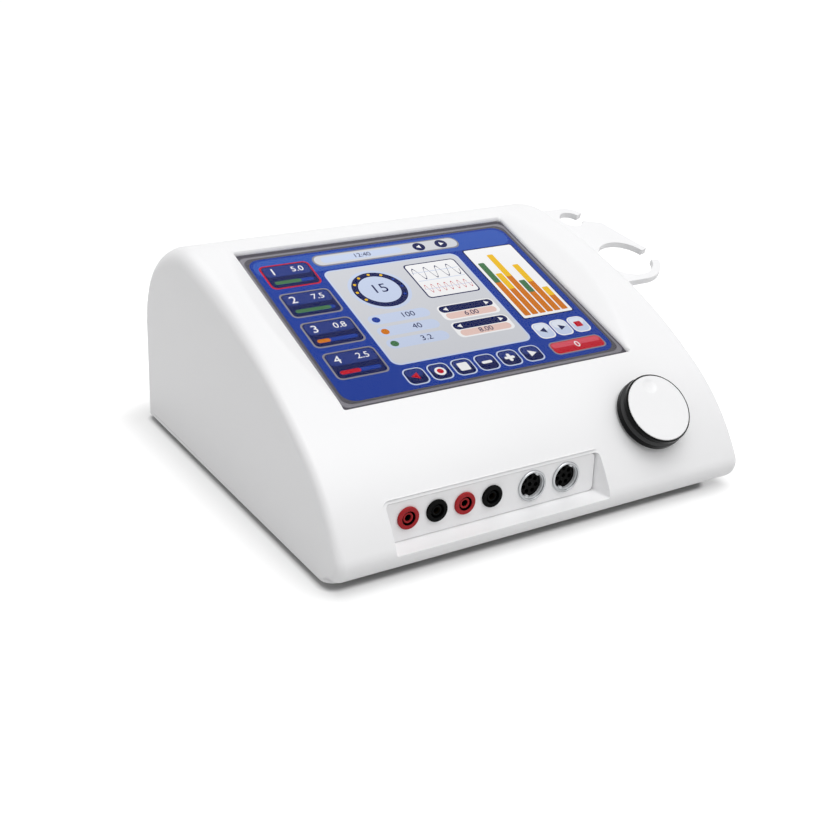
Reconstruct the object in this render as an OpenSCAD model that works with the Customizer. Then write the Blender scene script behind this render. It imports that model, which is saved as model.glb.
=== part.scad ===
// Table-top unit for ultrasound and stimulation therapy.
// A moulded wedge housing with a sunk display deck, a socket bay cut into its nose,
// a dial, and a plate on the right side that holds the treatment heads.
// Millimetres. +X right, +Y back, +Z up. The table is z = 0.

/* [Housing] */
// Width across the two sides, at the lower edge
housing_w = 295; // [288:1:305]
// Depth from the nose to the back
housing_d = 295; // [290:1:305]
// Height of the crest above the table
overall_h = 140; // [136:1:146]
// Wall of the moulded shell
wall = 2.6; // [2.2:0.1:3]
// Rounding between the top and the sides
edge_r = 8; // [7:0.5:9]
// Lean of each side wall, in degrees
side_draft = 1.4; // [1:0.1:1.8]
// Radius of the nose
nose_r = 12; // [11:0.5:13]
// Slope of the surface where the nose ends, in degrees
nose_slope = 63; // [60:1:66]
// Radius of the front face, seen from the side
front_r = 131; // [125:1:140]
// Radius of the crown, seen from the side
crown_r = 440; // [420:5:470]
// Radius of the rounded back, seen from the side
back_r = 70; // [64:1:76]

/* [Base] */
// Height of the rubber feet
foot_h = 4; // [3:0.5:6]
// Radius of a rubber foot
foot_r = 9; // [7:0.5:11]
// Distance from the housing's edges to the centre of a foot
foot_inset = 34; // [28:1:40]
// Thickness of the base tray's floor
base_t = 2.5; // [2:0.1:3.2]
// Height of the rim that locates the tray in the housing
rim_h = 7; // [5:0.5:10]
// Thickness of that rim
rim_t = 2; // [1.6:0.1:2.4]
// Radius of a post that takes a housing screw
post_r = 5; // [4.5:0.1:6]
// Distance from the housing's sides to the centre of a post
post_inset = 18; // [17:0.5:22]

/* [Display] */
// Where the flat deck leaves the front face, from the nose
deck_front = 65.5; // [63:0.5:68]
// Length of the deck along the ground, to the crest
deck_run = 157; // [154:1:160]
// Width of the flat deck
deck_w = 216; // [214:1:220]
// Thickness of the deck under its surface
deck_t = 2.4; // [2:0.1:3]
// Slope of the banks beside the deck, in degrees
bank_slope = 27; // [22:1:32]
// Width of the visible screen
screen_w = 211.2; // [205:0.1:212]
// Height of the visible screen
screen_h = 158.4; // [152:0.1:158.5]
// Corner radius of the opening over the screen
screen_corner = 1.5; // [1:0.1:3]
// Offset of the screen from the middle of the housing
screen_x = -3; // [-4:0.5:1]
// Border of the glass beyond the visible screen
glass_border = 8; // [7:0.5:9]
// Thickness of the touch glass
glass_t = 1.8; // [1.1:0.1:2.2]
// Thickness of the foam gasket
gasket_t = 0.8; // [0.5:0.1:1.2]
// Thickness of the panel module
panel_t = 6; // [5:0.5:8]
// Thickness of the steel frame behind the panel
frame_t = 1.2; // [1:0.1:1.6]

/* [Dial] */
// Distance of the dial's axis from the right side of the housing
dial_side = 61.9; // [58:0.1:66]
// Distance of the dial's foot from the nose
dial_y = 23.6; // [22:0.2:26]
// Radius of the dial
dial_r = 23; // [21:0.5:25]
// Height of the dial's face above the housing
dial_h = 13; // [12:0.5:15]
// Gap between the dial and the housing
dial_gap = 0.8; // [0.5:0.1:1.2]
// Radius of the white cap
cap_r = 21.9; // [20:0.1:22.2]
// Thickness of the white cap
cap_t = 2.2; // [1.6:0.1:2.6]
// Radius of the encoder's shaft
shaft_r = 3; // [2.5:0.1:3.5]
// Side of the square encoder
encoder_w = 17; // [14:0.5:20]
// Depth of the encoder
encoder_h = 9; // [7:0.5:11]

/* [Socket bay] */
// Depth of the bay, from the nose to its back wall
bay_d = 14.4; // [13:0.2:16]
// Height of the bay's floor above the table
bay_floor = 18.6; // [17:0.2:20]
// Width of the bay
bay_w = 147.6; // [144:0.2:152]
// Middle of the bay, from the middle of the housing
bay_x = -36.4; // [-40:0.2:-33]
// Corner radius of the bay
bay_corner = 3.2; // [2.5:0.1:4]
// Height of the sockets above the bay's floor
socket_rise = 14.1; // [13:0.1:15]
// First socket, from the bay's left end
socket_first = 15; // [13:0.2:17]
// Distance between lead sockets
socket_pitch = 19; // [18:0.1:20]
// Middle of the round connectors, right of the middle of the room beside the lead sockets
connector_shift = 3.5; // [3:0.1:4]
// Distance between the round connectors
connector_pitch = 25; // [24:0.2:27]
// Radius of a lead socket's collar
collar_r = 7; // [6.6:0.1:7.4]
// Thickness of a lead socket's collar
collar_t = 1.6; // [1.2:0.1:2]
// Radius of a lead socket's contact bore
contact_r = 2; // [1.9:0.05:2.1]
// Length of a lead socket behind its collar
socket_len = 24; // [22:0.5:27]
// Radius of a round connector's ring
ring_r = 9.45; // [9.2:0.05:10]
// Length of a round connector behind its ring
connector_len = 16; // [14:0.5:20]

/* [Head holder] */
// Thickness of the plate
holder_t = 4.5; // [3.5:0.1:5.5]
// Distance of the plate below the deck's plane
holder_drop = 4.6; // [4:0.2:6]
// Width of the arms round the openings
arm_w = 6; // [5:0.2:7]
// Radius of the front opening
hook_r = 20.3; // [19:0.1:21]
// Front opening, from the housing's side
hook_out = 24.4; // [23.5:0.1:26]
// Front opening, along the slope from the middle of the screen
hook_s = 15.5; // [12:0.5:20]
// Radius of the rear opening
small_hook_r = 8.9; // [8:0.1:9.2]
// Rear opening, from the housing's side
small_hook_out = 13.2; // [13:0.1:14]
// Rear opening, along the slope from the front one
small_hook_step = 55.2; // [53:0.2:58]
// Half angle of the mouths, in degrees
mouth_angle = 16.5; // [15:0.5:19]
// Half angle of the small mouth, in degrees
small_mouth_angle = 23; // [20:0.5:26]
// Height of the flange that is screwed to the side
flange_h = 16; // [14:0.5:18]

/* [Rear panel] */
// Width of the rear panel
rear_w = 228; // [222:1:236]
// Height of the rear panel
rear_h = 50; // [46:1:52]
// Height of its lower edge above the table
rear_low = 13; // [12:0.5:15]
// Thickness of the rear panel
rear_t = 2; // [1.6:0.1:2.4]
// Depth of the panel's face below the housing's back
rear_recess = 3.6; // [3.4:0.1:5]
// Distance of the mains inlet from the middle
inlet_x = 72; // [66:1:78]
// Distance of the power switch from the middle
switch_x = 30; // [26:1:34]
// Tilt of the rocker either way, in degrees
rocker_tilt = 8; // [6:0.5:10]
// Number of cooling slots
slot_count = 14; // [8:1:16]
// Distance between cooling slots
slot_pitch = 6; // [5:0.5:6.5]

/* [Hidden] */
$fn = 48;

// Clearances, how far a cut runs past a face, and the length of a cut that opens a plate
fit_gap = 0.3;
seat_gap = 0.05;
run_gap = 0.05;
over = 1;
through = 40;

// Screws and nuts of one size hold everything
screw_r = 1.5;
nut_across = 5.5;
nut_h = 2.4;
nut_edge = 2.5;

// The side profile: four arcs that meet in one tangent, each with its centre as [y, z]
function normal(slope) = [-sin(slope), cos(slope)];
function crossing(p, a, q, b) =
    let (d = norm(q - p), along = (d*d + a*a - b*b)/(2*d), off = sqrt(a*a - along*along), e = (q - p)/d)
    p + along*e + off*[e[1], -e[0]];
function slope_at(centre, point) = atan2(centre[0] - point[0], point[1] - centre[1]);
shell_z = foot_h + base_t;
sill_t = 0.5;
nose_c = [-housing_d/2 + nose_r, shell_z + nose_r];
front_c = nose_c - (front_r - nose_r)*normal(nose_slope);
back_c = [housing_d/2 - back_r, overall_h - back_r];
crown_c = crossing(front_c, crown_r - front_r, back_c, crown_r - back_r);
front_slope = slope_at(crown_c, front_c);
crest_slope = slope_at(crown_c, back_c);
front_end = front_c[0] - front_r*sin(front_slope);
crown_end = crown_c[0] - crown_r*sin(crest_slope);
function arc_z(centre, r, y) = centre[1] + sqrt(r*r - pow(y - centre[0], 2));
function surface_z(y) = y < front_end ? arc_z(front_c, front_r, y)
    : y < crown_end ? arc_z(crown_c, crown_r, y) : arc_z(back_c, back_r, y);
function surface_slope(y) = asin((front_c[0] - y)/front_r);
function arc_points(centre, r, from, to, steps) =
    [for (i = [1:steps]) centre + r*normal(from + (to - from)*i/steps)];
function profile_points(inset) = concat(
    [nose_c + (nose_r - inset)*normal(180)],
    arc_points(nose_c, nose_r - inset, 180, nose_slope, 4),
    arc_points(front_c, front_r - inset, nose_slope, front_slope, 6),
    arc_points(crown_c, crown_r - inset, front_slope, crest_slope, 8),
    arc_points(back_c, back_r - inset, crest_slope, -90, 9));
function side_x(z) = housing_w/2 - (z - shell_z)*tan(side_draft);

// The deck is a chord of the profile: its frame has X right, Y up the slope and Z off the deck
deck_front_y = -housing_d/2 + deck_front;
deck_back_y = deck_front_y + deck_run;
deck_tilt = atan((surface_z(deck_back_y) - surface_z(deck_front_y))/deck_run);
screen_c = [deck_front_y, surface_z(deck_front_y)] + screen_h/2*[cos(deck_tilt), sin(deck_tilt)];
function deck_point(s, n) = screen_c + s*[cos(deck_tilt), sin(deck_tilt)] + n*normal(deck_tilt);
bank_rise = 40;
glass_w = screen_w + 2*glass_border;
glass_h = screen_h + 2*glass_border;
gasket_n = -deck_t - seat_gap;
glass_n = gasket_n - gasket_t;
panel_n = glass_n - glass_t;
panel_step = 1.5;
frame_n = panel_n - panel_t;
frame_ear = 11;
frame_window_r = 6;
boss_r = 4;
boss_x = glass_w/2 + frame_ear/2 + fit_gap;
boss_s = screen_h/4;

// The dial stands square to the front face: a base disc, a waist and a rim round the cap
dial_x = housing_w/2 - dial_side;
dial_foot_y = -housing_d/2 + dial_y;
dial_slope = surface_slope(dial_foot_y);
dial_base_h = 3.2;
dial_chamfer = 1.6;
dial_waist = 1.4;
dial_rim_r = dial_r - 0.2;
dial_rim_h = 3.3;
dial_rim_edge = 0.6;
dial_rim_z = dial_h - 0.1;
cap_seat = dial_h - cap_t;
cap_edge = 0.4;
dimple_r = 14.7;
dimple_d = 0.7;
dimple_s = 0.68*cap_r;
dial_pad_r = 0.9*encoder_w;
dial_pad_t = 5;
bushing_t = 1.5;
bushing_r = shaft_r + bushing_t;
bushing_over = 0.4;
encoder_nut_t = 2;
encoder_nut_across = 2*(bushing_r + nut_edge);
spot_gap = 3;
spot_r = bushing_r + nut_edge + spot_gap;
spot_n = -0.8;
dial_pocket_r = spot_r + bushing_t;
dial_pocket_h = 3.4;
dial_pocket = dial_gap + dial_pocket_h;
shaft_grip = 3.6;
encoder_floor = 2;
shaft_bottom = encoder_floor - dial_pad_t - encoder_h;

// The socket bay, with the panel's depth measured back from the bay's back wall
bay_y = -housing_d/2 + bay_d;
bay_left = bay_x - bay_w/2;
bay_top = surface_z(bay_y) - 0.5;
bay_mid = (bay_top + bay_floor)/2;
bay_h = bay_top - bay_floor;
socket_z = bay_floor + socket_rise;
panel_lip = 3;
panel_ear = 13;
panel_flange_t = 2;
panel_depth = wall + seat_gap + panel_flange_t;
panel_screw_x = [bay_left - panel_ear/2, bay_left + bay_w + panel_ear/2];
panel_screw_len = panel_flange_t + 6;
collar_edge = 0.5;
contact_t = 0.6;
contact_tail = 6;
contact_floor = 8;
contact_drop = 2;
sleeve_drop = 1;
sleeve_t = 1.3;
sleeve_r = contact_r + sleeve_t;
groove_w = 1.05;
groove_r = sleeve_r + groove_w;
groove_d = 14;
barrel_t = 1;
barrel_r = groove_r + barrel_t;
barrel_nut_across = 2*(barrel_r + nut_edge);
ring_t = 1.4;
ring_edge = 0.5;
ring_lip = 1.2;
connector_r = ring_r - ring_lip;
connector_wall = 0.7;
connector_nut_across = 2*(connector_r + nut_edge);
insert_r = connector_r - connector_wall;
insert_drop = 4.6;
insert_tail = 2;
pole_r = 0.75;
pole_d = 6;
pole_count = 7;
pole_circle = 0.62*insert_r;
key_r = 1.4;
key_angles = [55, 250];
function socket_at(i) = bay_left + socket_first + i*socket_pitch;
connector_mid = (socket_at(3) + bay_left + bay_w)/2 + connector_shift;
function connector_at(i) = connector_mid + (i - 0.5)*connector_pitch;

// The head holder hangs beside the right wall, in the deck's frame
holder_n = -holder_drop;
hook_x = housing_w/2 + hook_out;
small_hook_x = housing_w/2 + small_hook_out;
small_hook_s = hook_s + small_hook_step;
flange_t = 3;
holder_front_s = hook_s - hook_r - arm_w;
holder_back_s = small_hook_s + small_hook_r + arm_w;
holder_root = housing_w/2 - 10;
flange_n = holder_n - holder_t - flange_h/2;
holder_screw_s = [holder_front_s + 12, holder_back_s - 20];
holder_reach = hook_out + (hook_r + arm_w)*cos(mouth_angle);

// The posts, the feet and the tray
post_x = housing_w/2 - post_inset;
post_y = [-housing_d/2 + 40, housing_d/2 - 22];
post_screw = 12;
foot_x = housing_w/2 - foot_inset;
foot_y = [nose_c[0] + foot_inset/2, housing_d/2 - foot_inset];
foot_edge = 1.2;
foot_taper = 0.6;
foot_recess = 2.2;
tray_front = nose_c[0] + 1;
tray_y = (tray_front + housing_d/2)/2;
tray_d = housing_d/2 - tray_front;

// The rear panel with its inlet and its switch
rear_z = rear_low + rear_h/2;
rear_lip = 5;
rear_frame_t = rear_recess + rear_t + 4;
rear_face_y = housing_d/2 - rear_recess;
rear_screw_x = rear_w/2 - rear_lip;
rear_screw_z = rear_h/2 - rear_lip;
rear_screw_len = rear_t + 1;
sink_t = rear_t/2;
slot_w = 2.6;
slot_h = 0.6*rear_h;
slot_first = 18;
inlet_w = 27;
inlet_h = 20;
inlet_corner = 2.5;
inlet_flange_w = 50;
inlet_flange_h = 23;
inlet_flange_t = 1.4;
inlet_d = 24;
inlet_screw = 40;
recess_w = 23;
recess_h = 15.5;
recess_d = 17;
blade_w = 2;
blade_h = 4;
blade_tail = 8;
blade_drop = 5;
blades = [[-7, -2], [7, -2], [0, 2]];
switch_w = 13;
switch_h = 19.4;
switch_lip = 1;
switch_lip_t = 1.2;
switch_d = 16;
switch_floor = 2;
rocker_w = switch_w - 2.6;
rocker_h = switch_h - 5;
rocker_window = rocker_h + 2.8;
rocker_axis_d = 5.5;
rocker_skirt = 3;
rocker_rise = 2.6;
rocker_draft = 0.6;
hub_r = 3;
pin_r = 1;

// The boards, each as [x, y, width, depth] by its middle
board_t = 1.6;
board_corner = 2;
spacer_r = 3;
spacer_h = 9;
board_z = shell_z + spacer_h;
parts_z = board_z + board_t + seat_gap;
board_gap = 6;
board_front = -housing_d/2 + 61.5;
board_back = housing_d/2 - 27.5;
supply_size = [126, 96];
supply_place = [62, board_back - supply_size[1]/2, supply_size[0], supply_size[1]];
main_d = board_back - supply_size[1] - board_gap - board_front;
main_place = [-48, board_front + main_d/2, 150, main_d];
stimulation_place = [70, board_front + 24, 84, 84];
ultrasound_place = [-82, board_back - 30, 76, 68];
boards = [main_place, stimulation_place, ultrasound_place, supply_place];
hole_inset = 5;
header_size = [18, 12, 12];
header_pitch = 20;
header_first = -54;
processor_size = [60, 50, 5];
processor_x = 26;
driver_size = [10, 5, 18];
driver_pitch = 15;
driver_y = -30;
output_size = [28, 32, 24];
output_at = [18, 8];
choke_r = 8;
choke_bore = 4;
choke_h = 10;
choke_at = [15, 18];
capacitor_r = 9;
capacitor_h = 28;
capacitor_pitch = 22;
capacitor_y = -26;
filter_size = [40, 18, 22];
filter_x = 30;
transformer_size = [56, 46, 34];
transformer_at = [10, 16];
fin_pitch = 6.8;
fin_t = 2;
sink_size = [60, 26, 4];
sink_y = -12;
fin_h = 20;
speaker_place = [-24, post_y[1] - 12];
speaker_r = 18;
speaker_h = 12;

// The whole is centred on its own bounding box, with the holder and the dial's overhang included
dial_reach = dial_rim_z*sin(dial_slope) + (dial_rim_r - dial_rim_edge)*cos(dial_slope);
dial_overhang = max(0, dial_reach - dial_y);
frame_x = -holder_reach/2;
frame_y = dial_overhang/2;

// Places
module in_frame() translate([frame_x, frame_y, 0]) children();
module on_deck(x = 0, s = 0, n = 0) translate([0, screen_c[0], screen_c[1]]) rotate([deck_tilt, 0, 0])
    translate([x, s, n]) children();
module on_dial(n = 0) translate([dial_x, dial_foot_y, surface_z(dial_foot_y)]) rotate([dial_slope, 0, 0])
    translate([0, 0, n]) children();
module on_bay(x, z = 0) translate([x, bay_y, z]) rotate([90, 0, 0]) children();
module on_side(y = 0, z = 0) translate([housing_w/2, y, shell_z]) rotate([0, -side_draft, 0])
    translate([0, 0, (z - shell_z)/cos(side_draft)]) children();
module on_rear(x = 0, z = 0) translate([x, rear_face_y, z]) rotate([90, 0, 180]) children();
module corners(dx, dy) for (sx = [-1, 1]) for (sy = [-1, 1]) translate([sx*dx, sy*dy, 0]) children();
module at_posts() for (sx = [-1, 1]) for (y = post_y) translate([sx*post_x, y, 0]) children();
module at_feet() for (sx = [-1, 1]) for (y = foot_y) translate([sx*foot_x, y, 0]) children();
module at_bosses(n) on_deck(screen_x, 0, n) corners(boss_x, boss_s) children();
module at_sockets(picks) for (i = picks) on_bay(socket_at(i), socket_z) children();
module at_connectors() for (i = [0:1]) on_bay(connector_at(i), socket_z) children();
module at_panel_screws() for (x = panel_screw_x) on_bay(x, socket_z) children();
module at_holder_screws(out) for (s = holder_screw_s)
    on_side(deck_point(s, flange_n)[0], deck_point(s, flange_n)[1]) rotate([0, 90, 0])
        translate([0, 0, out]) children();
module at_rear_screws(out) on_rear(0, rear_z) translate([0, 0, out])
    corners(rear_screw_x, rear_screw_z) children();
module at_inlet_screws() for (sx = [-1, 1]) translate([sx*inlet_screw/2, 0, 0]) children();
module at_board_holes(places) for (b = places) translate([b[0], b[1], 0])
    corners(b[2]/2 - hole_inset, b[3]/2 - hole_inset) children();

// Shapes that repeat
module rounded(w, h, r) {
    square([w, h - 2*r], center = true);
    square([w - 2*r, h], center = true);
    corners(w/2 - r, h/2 - r) circle(r);
}
module slab(w, h, t, r) linear_extrude(t) rounded(w, h, r);
module bore(r) cylinder(r = r, h = through, center = true);
module ring(outer, inner, h) difference() {
    cylinder(r = outer, h = h);
    bore(inner);
}
module hex_nut(across, inner, h) difference() {
    cylinder(d = across/cos(30), h = h, $fn = 6);
    bore(inner);
}
// A pan-head screw: its head stands on z = 0 and its shank runs down
module screw(length) {
    cylinder(r1 = 2*screw_r, r2 = 1.5*screw_r, h = 1.2*screw_r);
    translate([0, 0, -length]) cylinder(r = screw_r - seat_gap, h = length);
}

// Housing
module shell_form(inset, bottom, facets) hull() {
    for (side = [-1, 1]) for (p = profile_points(edge_r))
        translate([side*(side_x(p[1]) - edge_r/cos(side_draft)), p[0], p[1]])
            sphere(edge_r - inset, $fn = facets);
    translate([0, (nose_c[0] + housing_d/2)/2, bottom])
        slab(housing_w - 2*inset, housing_d/2 - nose_c[0] - 2*inset, sill_t, edge_r - inset);
}
// A trough across the deck with sloping banks, grown by t on its underside
module deck_trough(t) {
    foot = deck_w/2 + t*tan(bank_slope/2);
    spread = bank_rise/tan(bank_slope);
    on_deck() rotate([90, 0, 0]) linear_extrude(2*housing_d, center = true) polygon([
        [-foot, -t], [foot, -t], [foot + spread, bank_rise - t], [-foot - spread, bank_rise - t]]);
}
module bay_cut(grow, depth) on_bay(bay_x, bay_mid) translate([0, 0, -depth])
    slab(bay_w + 2*grow, bay_h + 2*grow, 2*bay_d + depth, bay_corner + grow);
module shell_cavity() difference() {
    shell_form(wall, shell_z - over, 20);
    deck_trough(deck_t);
    bay_cut(panel_lip + over, wall);
    at_panel_screws() translate([0, 0, -wall]) cylinder(r = boss_r, h = 2*bay_d);
    at_posts() translate([0, 0, shell_z + seat_gap]) cylinder(r = post_r, h = overall_h);
    at_bosses(frame_n + seat_gap) cylinder(r = boss_r, h = overall_h);
    on_dial(-dial_pad_t) cylinder(r = dial_pad_r, h = 2*dial_pad_t);
    on_rear(0, rear_z) translate([0, 0, rear_recess - rear_frame_t])
        slab(rear_w + 2*rear_lip, rear_h + 2*rear_lip - 2, 2*rear_frame_t, rear_lip);
}
module upper_housing() color("white") difference() {
    shell_form(0, shell_z, 32);
    deck_trough(0);
    shell_cavity();
    bay_cut(0, 2*wall);
    on_deck(screen_x, 0, -deck_t - over) slab(screen_w, screen_h, bank_rise, screen_corner);
    on_deck(screen_x, 0, frame_n - 2*panel_t) linear_extrude(2*panel_t - frame_n - deck_t)
        square([glass_w + 2*fit_gap, glass_h + 2*fit_gap], center = true);
    on_dial() bore(bushing_r + fit_gap);
    on_dial(spot_n) cylinder(r = spot_r, h = 2*dial_pad_t);
    on_rear(0, rear_z) {
        translate([0, 0, -rear_t - seat_gap])
            slab(rear_w + 2*fit_gap, rear_h + 2*fit_gap, rear_t + 2*rear_recess, rear_lip);
        translate([0, 0, -3*rear_frame_t])
            slab(rear_w - 4*rear_lip, rear_h - 2*rear_lip, 4*rear_frame_t, rear_lip);
    }
    at_rear_screws(-rear_screw_len - rear_t) cylinder(r = screw_r, h = rear_frame_t);
    at_posts() cylinder(r = screw_r, h = shell_z + post_screw + 2);
    at_bosses(frame_n - over) cylinder(r = screw_r, h = panel_t + 2);
    at_panel_screws() translate([0, 0, -2*wall]) cylinder(r = screw_r, h = 2*wall + 5);
    at_holder_screws(-3*wall) cylinder(r = screw_r + seat_gap, h = 4*wall);
}

// Base
module tray_rim(inset, t) slab(housing_w - 2*inset, tray_d - 2*inset - 2*rear_frame_t, t, edge_r - inset);
module base_tray() color("gainsboro") difference() {
    rim_inset = wall + 3*fit_gap;
    translate([0, tray_y, foot_h]) {
        slab(housing_w, tray_d, base_t - seat_gap, edge_r);
        difference() {
            tray_rim(rim_inset, base_t + rim_h);
            translate([0, 0, base_t - seat_gap]) tray_rim(rim_inset + rim_t, rim_h + over);
        }
    }
    at_posts() {
        bore(screw_r + seat_gap);
        translate([0, 0, shell_z - seat_gap]) cylinder(r = post_r + fit_gap, h = rim_h + over);
    }
    at_feet() bore(screw_r + seat_gap);
    at_board_holes(boards) bore(screw_r + seat_gap);
}
module rubber_feet() color("dimgray") at_feet() difference() {
    rotate_extrude() polygon([[0, 0], [foot_r - foot_edge, 0], [foot_r, foot_edge],
        [foot_r - foot_taper, foot_h - seat_gap], [0, foot_h - seat_gap]]);
    bore(screw_r + seat_gap);
    translate([0, 0, -over]) cylinder(r = 2*screw_r + fit_gap, h = over + foot_recess);
}
module foot_screws() color("silver") at_feet() translate([0, 0, foot_recess - seat_gap])
    rotate([180, 0, 0]) screw(shell_z + 1 - foot_recess);
module housing_screws() color("silver") at_posts() translate([0, 0, foot_h - seat_gap])
    rotate([180, 0, 0]) screw(base_t + post_screw);

// Display
module display_gasket() color("black") on_deck(screen_x, 0, glass_n + seat_gap)
    linear_extrude(gasket_t - seat_gap) difference() {
        rounded(glass_w, glass_h, screen_corner);
        rounded(screen_w + 2*fit_gap, screen_h + 2*fit_gap, screen_corner);
    }
module touch_glass() color("lightblue", 0.5) on_deck(screen_x, 0, panel_n + seat_gap)
    slab(glass_w, glass_h, glass_t - seat_gap, screen_corner);
module lcd_panel() color("midnightblue") on_deck(screen_x, 0, frame_n + seat_gap) {
    slab(glass_w, glass_h, panel_t - panel_step, screen_corner);
    slab(screen_w + 2*panel_step, screen_h + 2*panel_step, panel_t - seat_gap, screen_corner);
}
module display_frame() color("silver") on_deck(screen_x, 0, frame_n - frame_t) difference() {
    union() {
        slab(glass_w, glass_h, frame_t, screen_corner);
        corners(boss_x - frame_ear/4, boss_s) slab(1.5*frame_ear, frame_ear, frame_t, board_corner);
    }
    corners(boss_x, boss_s) bore(screw_r + seat_gap);
    for (sx = [-1, 1]) translate([sx*screen_w/4, 0, -over])
        slab(screen_w/3, screen_h/2, frame_t + 2*over, frame_window_r);
}
module display_screws() color("silver") at_bosses(frame_n - frame_t - seat_gap)
    rotate([180, 0, 0]) screw(panel_t);

// Dial
module dial_body() color("black") on_dial() difference() {
    rotate_extrude($fn = 96) polygon([
        [0, dial_gap], [dial_r - dial_chamfer, dial_gap], [dial_r, dial_gap + dial_chamfer],
        [dial_r, dial_gap + dial_base_h], [dial_r - dial_waist, dial_gap + dial_base_h + 2*dial_waist],
        [dial_r - dial_waist, dial_rim_z - dial_rim_h - dial_waist], [dial_rim_r, dial_rim_z - dial_rim_h],
        [dial_rim_r, dial_rim_z - dial_rim_edge], [dial_rim_r - dial_rim_edge, dial_rim_z], [0, dial_rim_z]]);
    translate([0, 0, cap_seat]) cylinder(r = cap_r + seat_gap, h = dial_h, $fn = 96);
    cylinder(r = dial_pocket_r, h = dial_pocket);
    cylinder(r = shaft_r + seat_gap, h = cap_seat - over);
}
module dial_cap() color("whitesmoke") on_dial() difference() {
    rotate_extrude($fn = 96) polygon([[0, cap_seat + seat_gap], [cap_r, cap_seat + seat_gap],
        [cap_r, dial_h - cap_edge], [cap_r - cap_edge, dial_h], [0, dial_h]]);
    translate([0, dimple_s, dial_h + dimple_r - dimple_d]) sphere(dimple_r);
}
module dial_shaft() color("silver") on_dial(shaft_bottom)
    cylinder(r = shaft_r, h = dial_pocket + shaft_grip - shaft_bottom);
module encoder_body() color("darkslategray") difference() {
    union() {
        on_dial(-dial_pad_t - seat_gap - encoder_h) slab(encoder_w, encoder_w, encoder_h, 1.5);
        on_dial(-dial_pad_t - over)
            cylinder(r = bushing_r, h = dial_pad_t + over + spot_n + encoder_nut_t + bushing_over);
    }
    on_dial(shaft_bottom - run_gap) cylinder(r = shaft_r + run_gap, h = through);
}
module encoder_nut() color("silver") on_dial(spot_n + seat_gap)
    hex_nut(encoder_nut_across, bushing_r + seat_gap, encoder_nut_t);

// Socket bay
module socket_panel() color("white") difference() {
    on_bay(bay_x, bay_mid) {
        translate([0, 0, -panel_depth])
            slab(bay_w - 2*fit_gap, bay_h - 2*fit_gap, panel_depth, bay_corner - fit_gap);
        translate([0, -panel_lip/2 - fit_gap, -panel_depth])
            slab(bay_w + 2*panel_ear, bay_h + panel_lip - 2*fit_gap, panel_flange_t, bay_corner);
    }
    at_sockets([0:3]) bore(barrel_r + seat_gap);
    at_connectors() bore(connector_r + seat_gap);
    at_panel_screws() bore(screw_r + seat_gap);
}
module socket_panel_screws() color("silver") at_panel_screws() translate([0, 0, -panel_depth - seat_gap])
    rotate([180, 0, 0]) screw(panel_screw_len);
// A shrouded socket: a collar, a ring gap for the plug's shroud and a sleeve round the contact
module lead_socket() {
    core = contact_r + contact_t + seat_gap;
    rotate_extrude() polygon([
        [core, -socket_len], [barrel_r, -socket_len], [barrel_r, seat_gap], [collar_r, seat_gap],
        [collar_r, collar_t - collar_edge], [collar_r - collar_edge, collar_t], [groove_r, collar_t],
        [groove_r, collar_t - groove_d], [sleeve_r, collar_t - groove_d],
        [sleeve_r, collar_t - sleeve_drop], [core, collar_t - sleeve_drop]]);
}
module red_sockets() color("firebrick") at_sockets([0, 2]) lead_socket();
module black_sockets() color("black") at_sockets([1, 3]) lead_socket();
module socket_contacts() color("goldenrod") at_sockets([0:3]) difference() {
    bottom = -socket_len - contact_tail;
    translate([0, 0, bottom])
        cylinder(r = contact_r + contact_t, h = collar_t - contact_drop - bottom);
    translate([0, 0, bottom + contact_floor]) cylinder(r = contact_r, h = through);
}
module socket_nuts() color("silver") at_sockets([0:3]) translate([0, 0, -panel_depth - seat_gap - nut_h])
    hex_nut(barrel_nut_across, barrel_r + seat_gap, nut_h);
module connector_shells() color("silver") at_connectors() rotate_extrude() polygon([
    [insert_r, -connector_len], [connector_r, -connector_len], [connector_r, seat_gap], [ring_r, seat_gap],
    [ring_r, ring_t - ring_edge], [ring_r - ring_edge, ring_t],
    [insert_r + ring_edge, ring_t], [insert_r, ring_t - ring_edge]]);
module connector_inserts() color("black") at_connectors() difference() {
    bottom = -connector_len - insert_tail;
    face = ring_t - insert_drop;
    translate([0, 0, bottom]) cylinder(r = insert_r - seat_gap, h = face - bottom);
    translate([0, 0, face - pole_d]) {
        cylinder(r = pole_r, h = 2*pole_d);
        for (i = [0:pole_count - 1]) rotate(90 + i*360/pole_count) translate([pole_circle, 0, 0])
            cylinder(r = pole_r, h = 2*pole_d);
        for (a = key_angles) rotate(a) translate([insert_r, 0, 0]) cylinder(r = key_r, h = 2*pole_d);
    }
}
module connector_nuts() color("silver") at_connectors() translate([0, 0, -panel_depth - seat_gap - nut_h])
    hex_nut(connector_nut_across, connector_r + seat_gap, nut_h);

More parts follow.
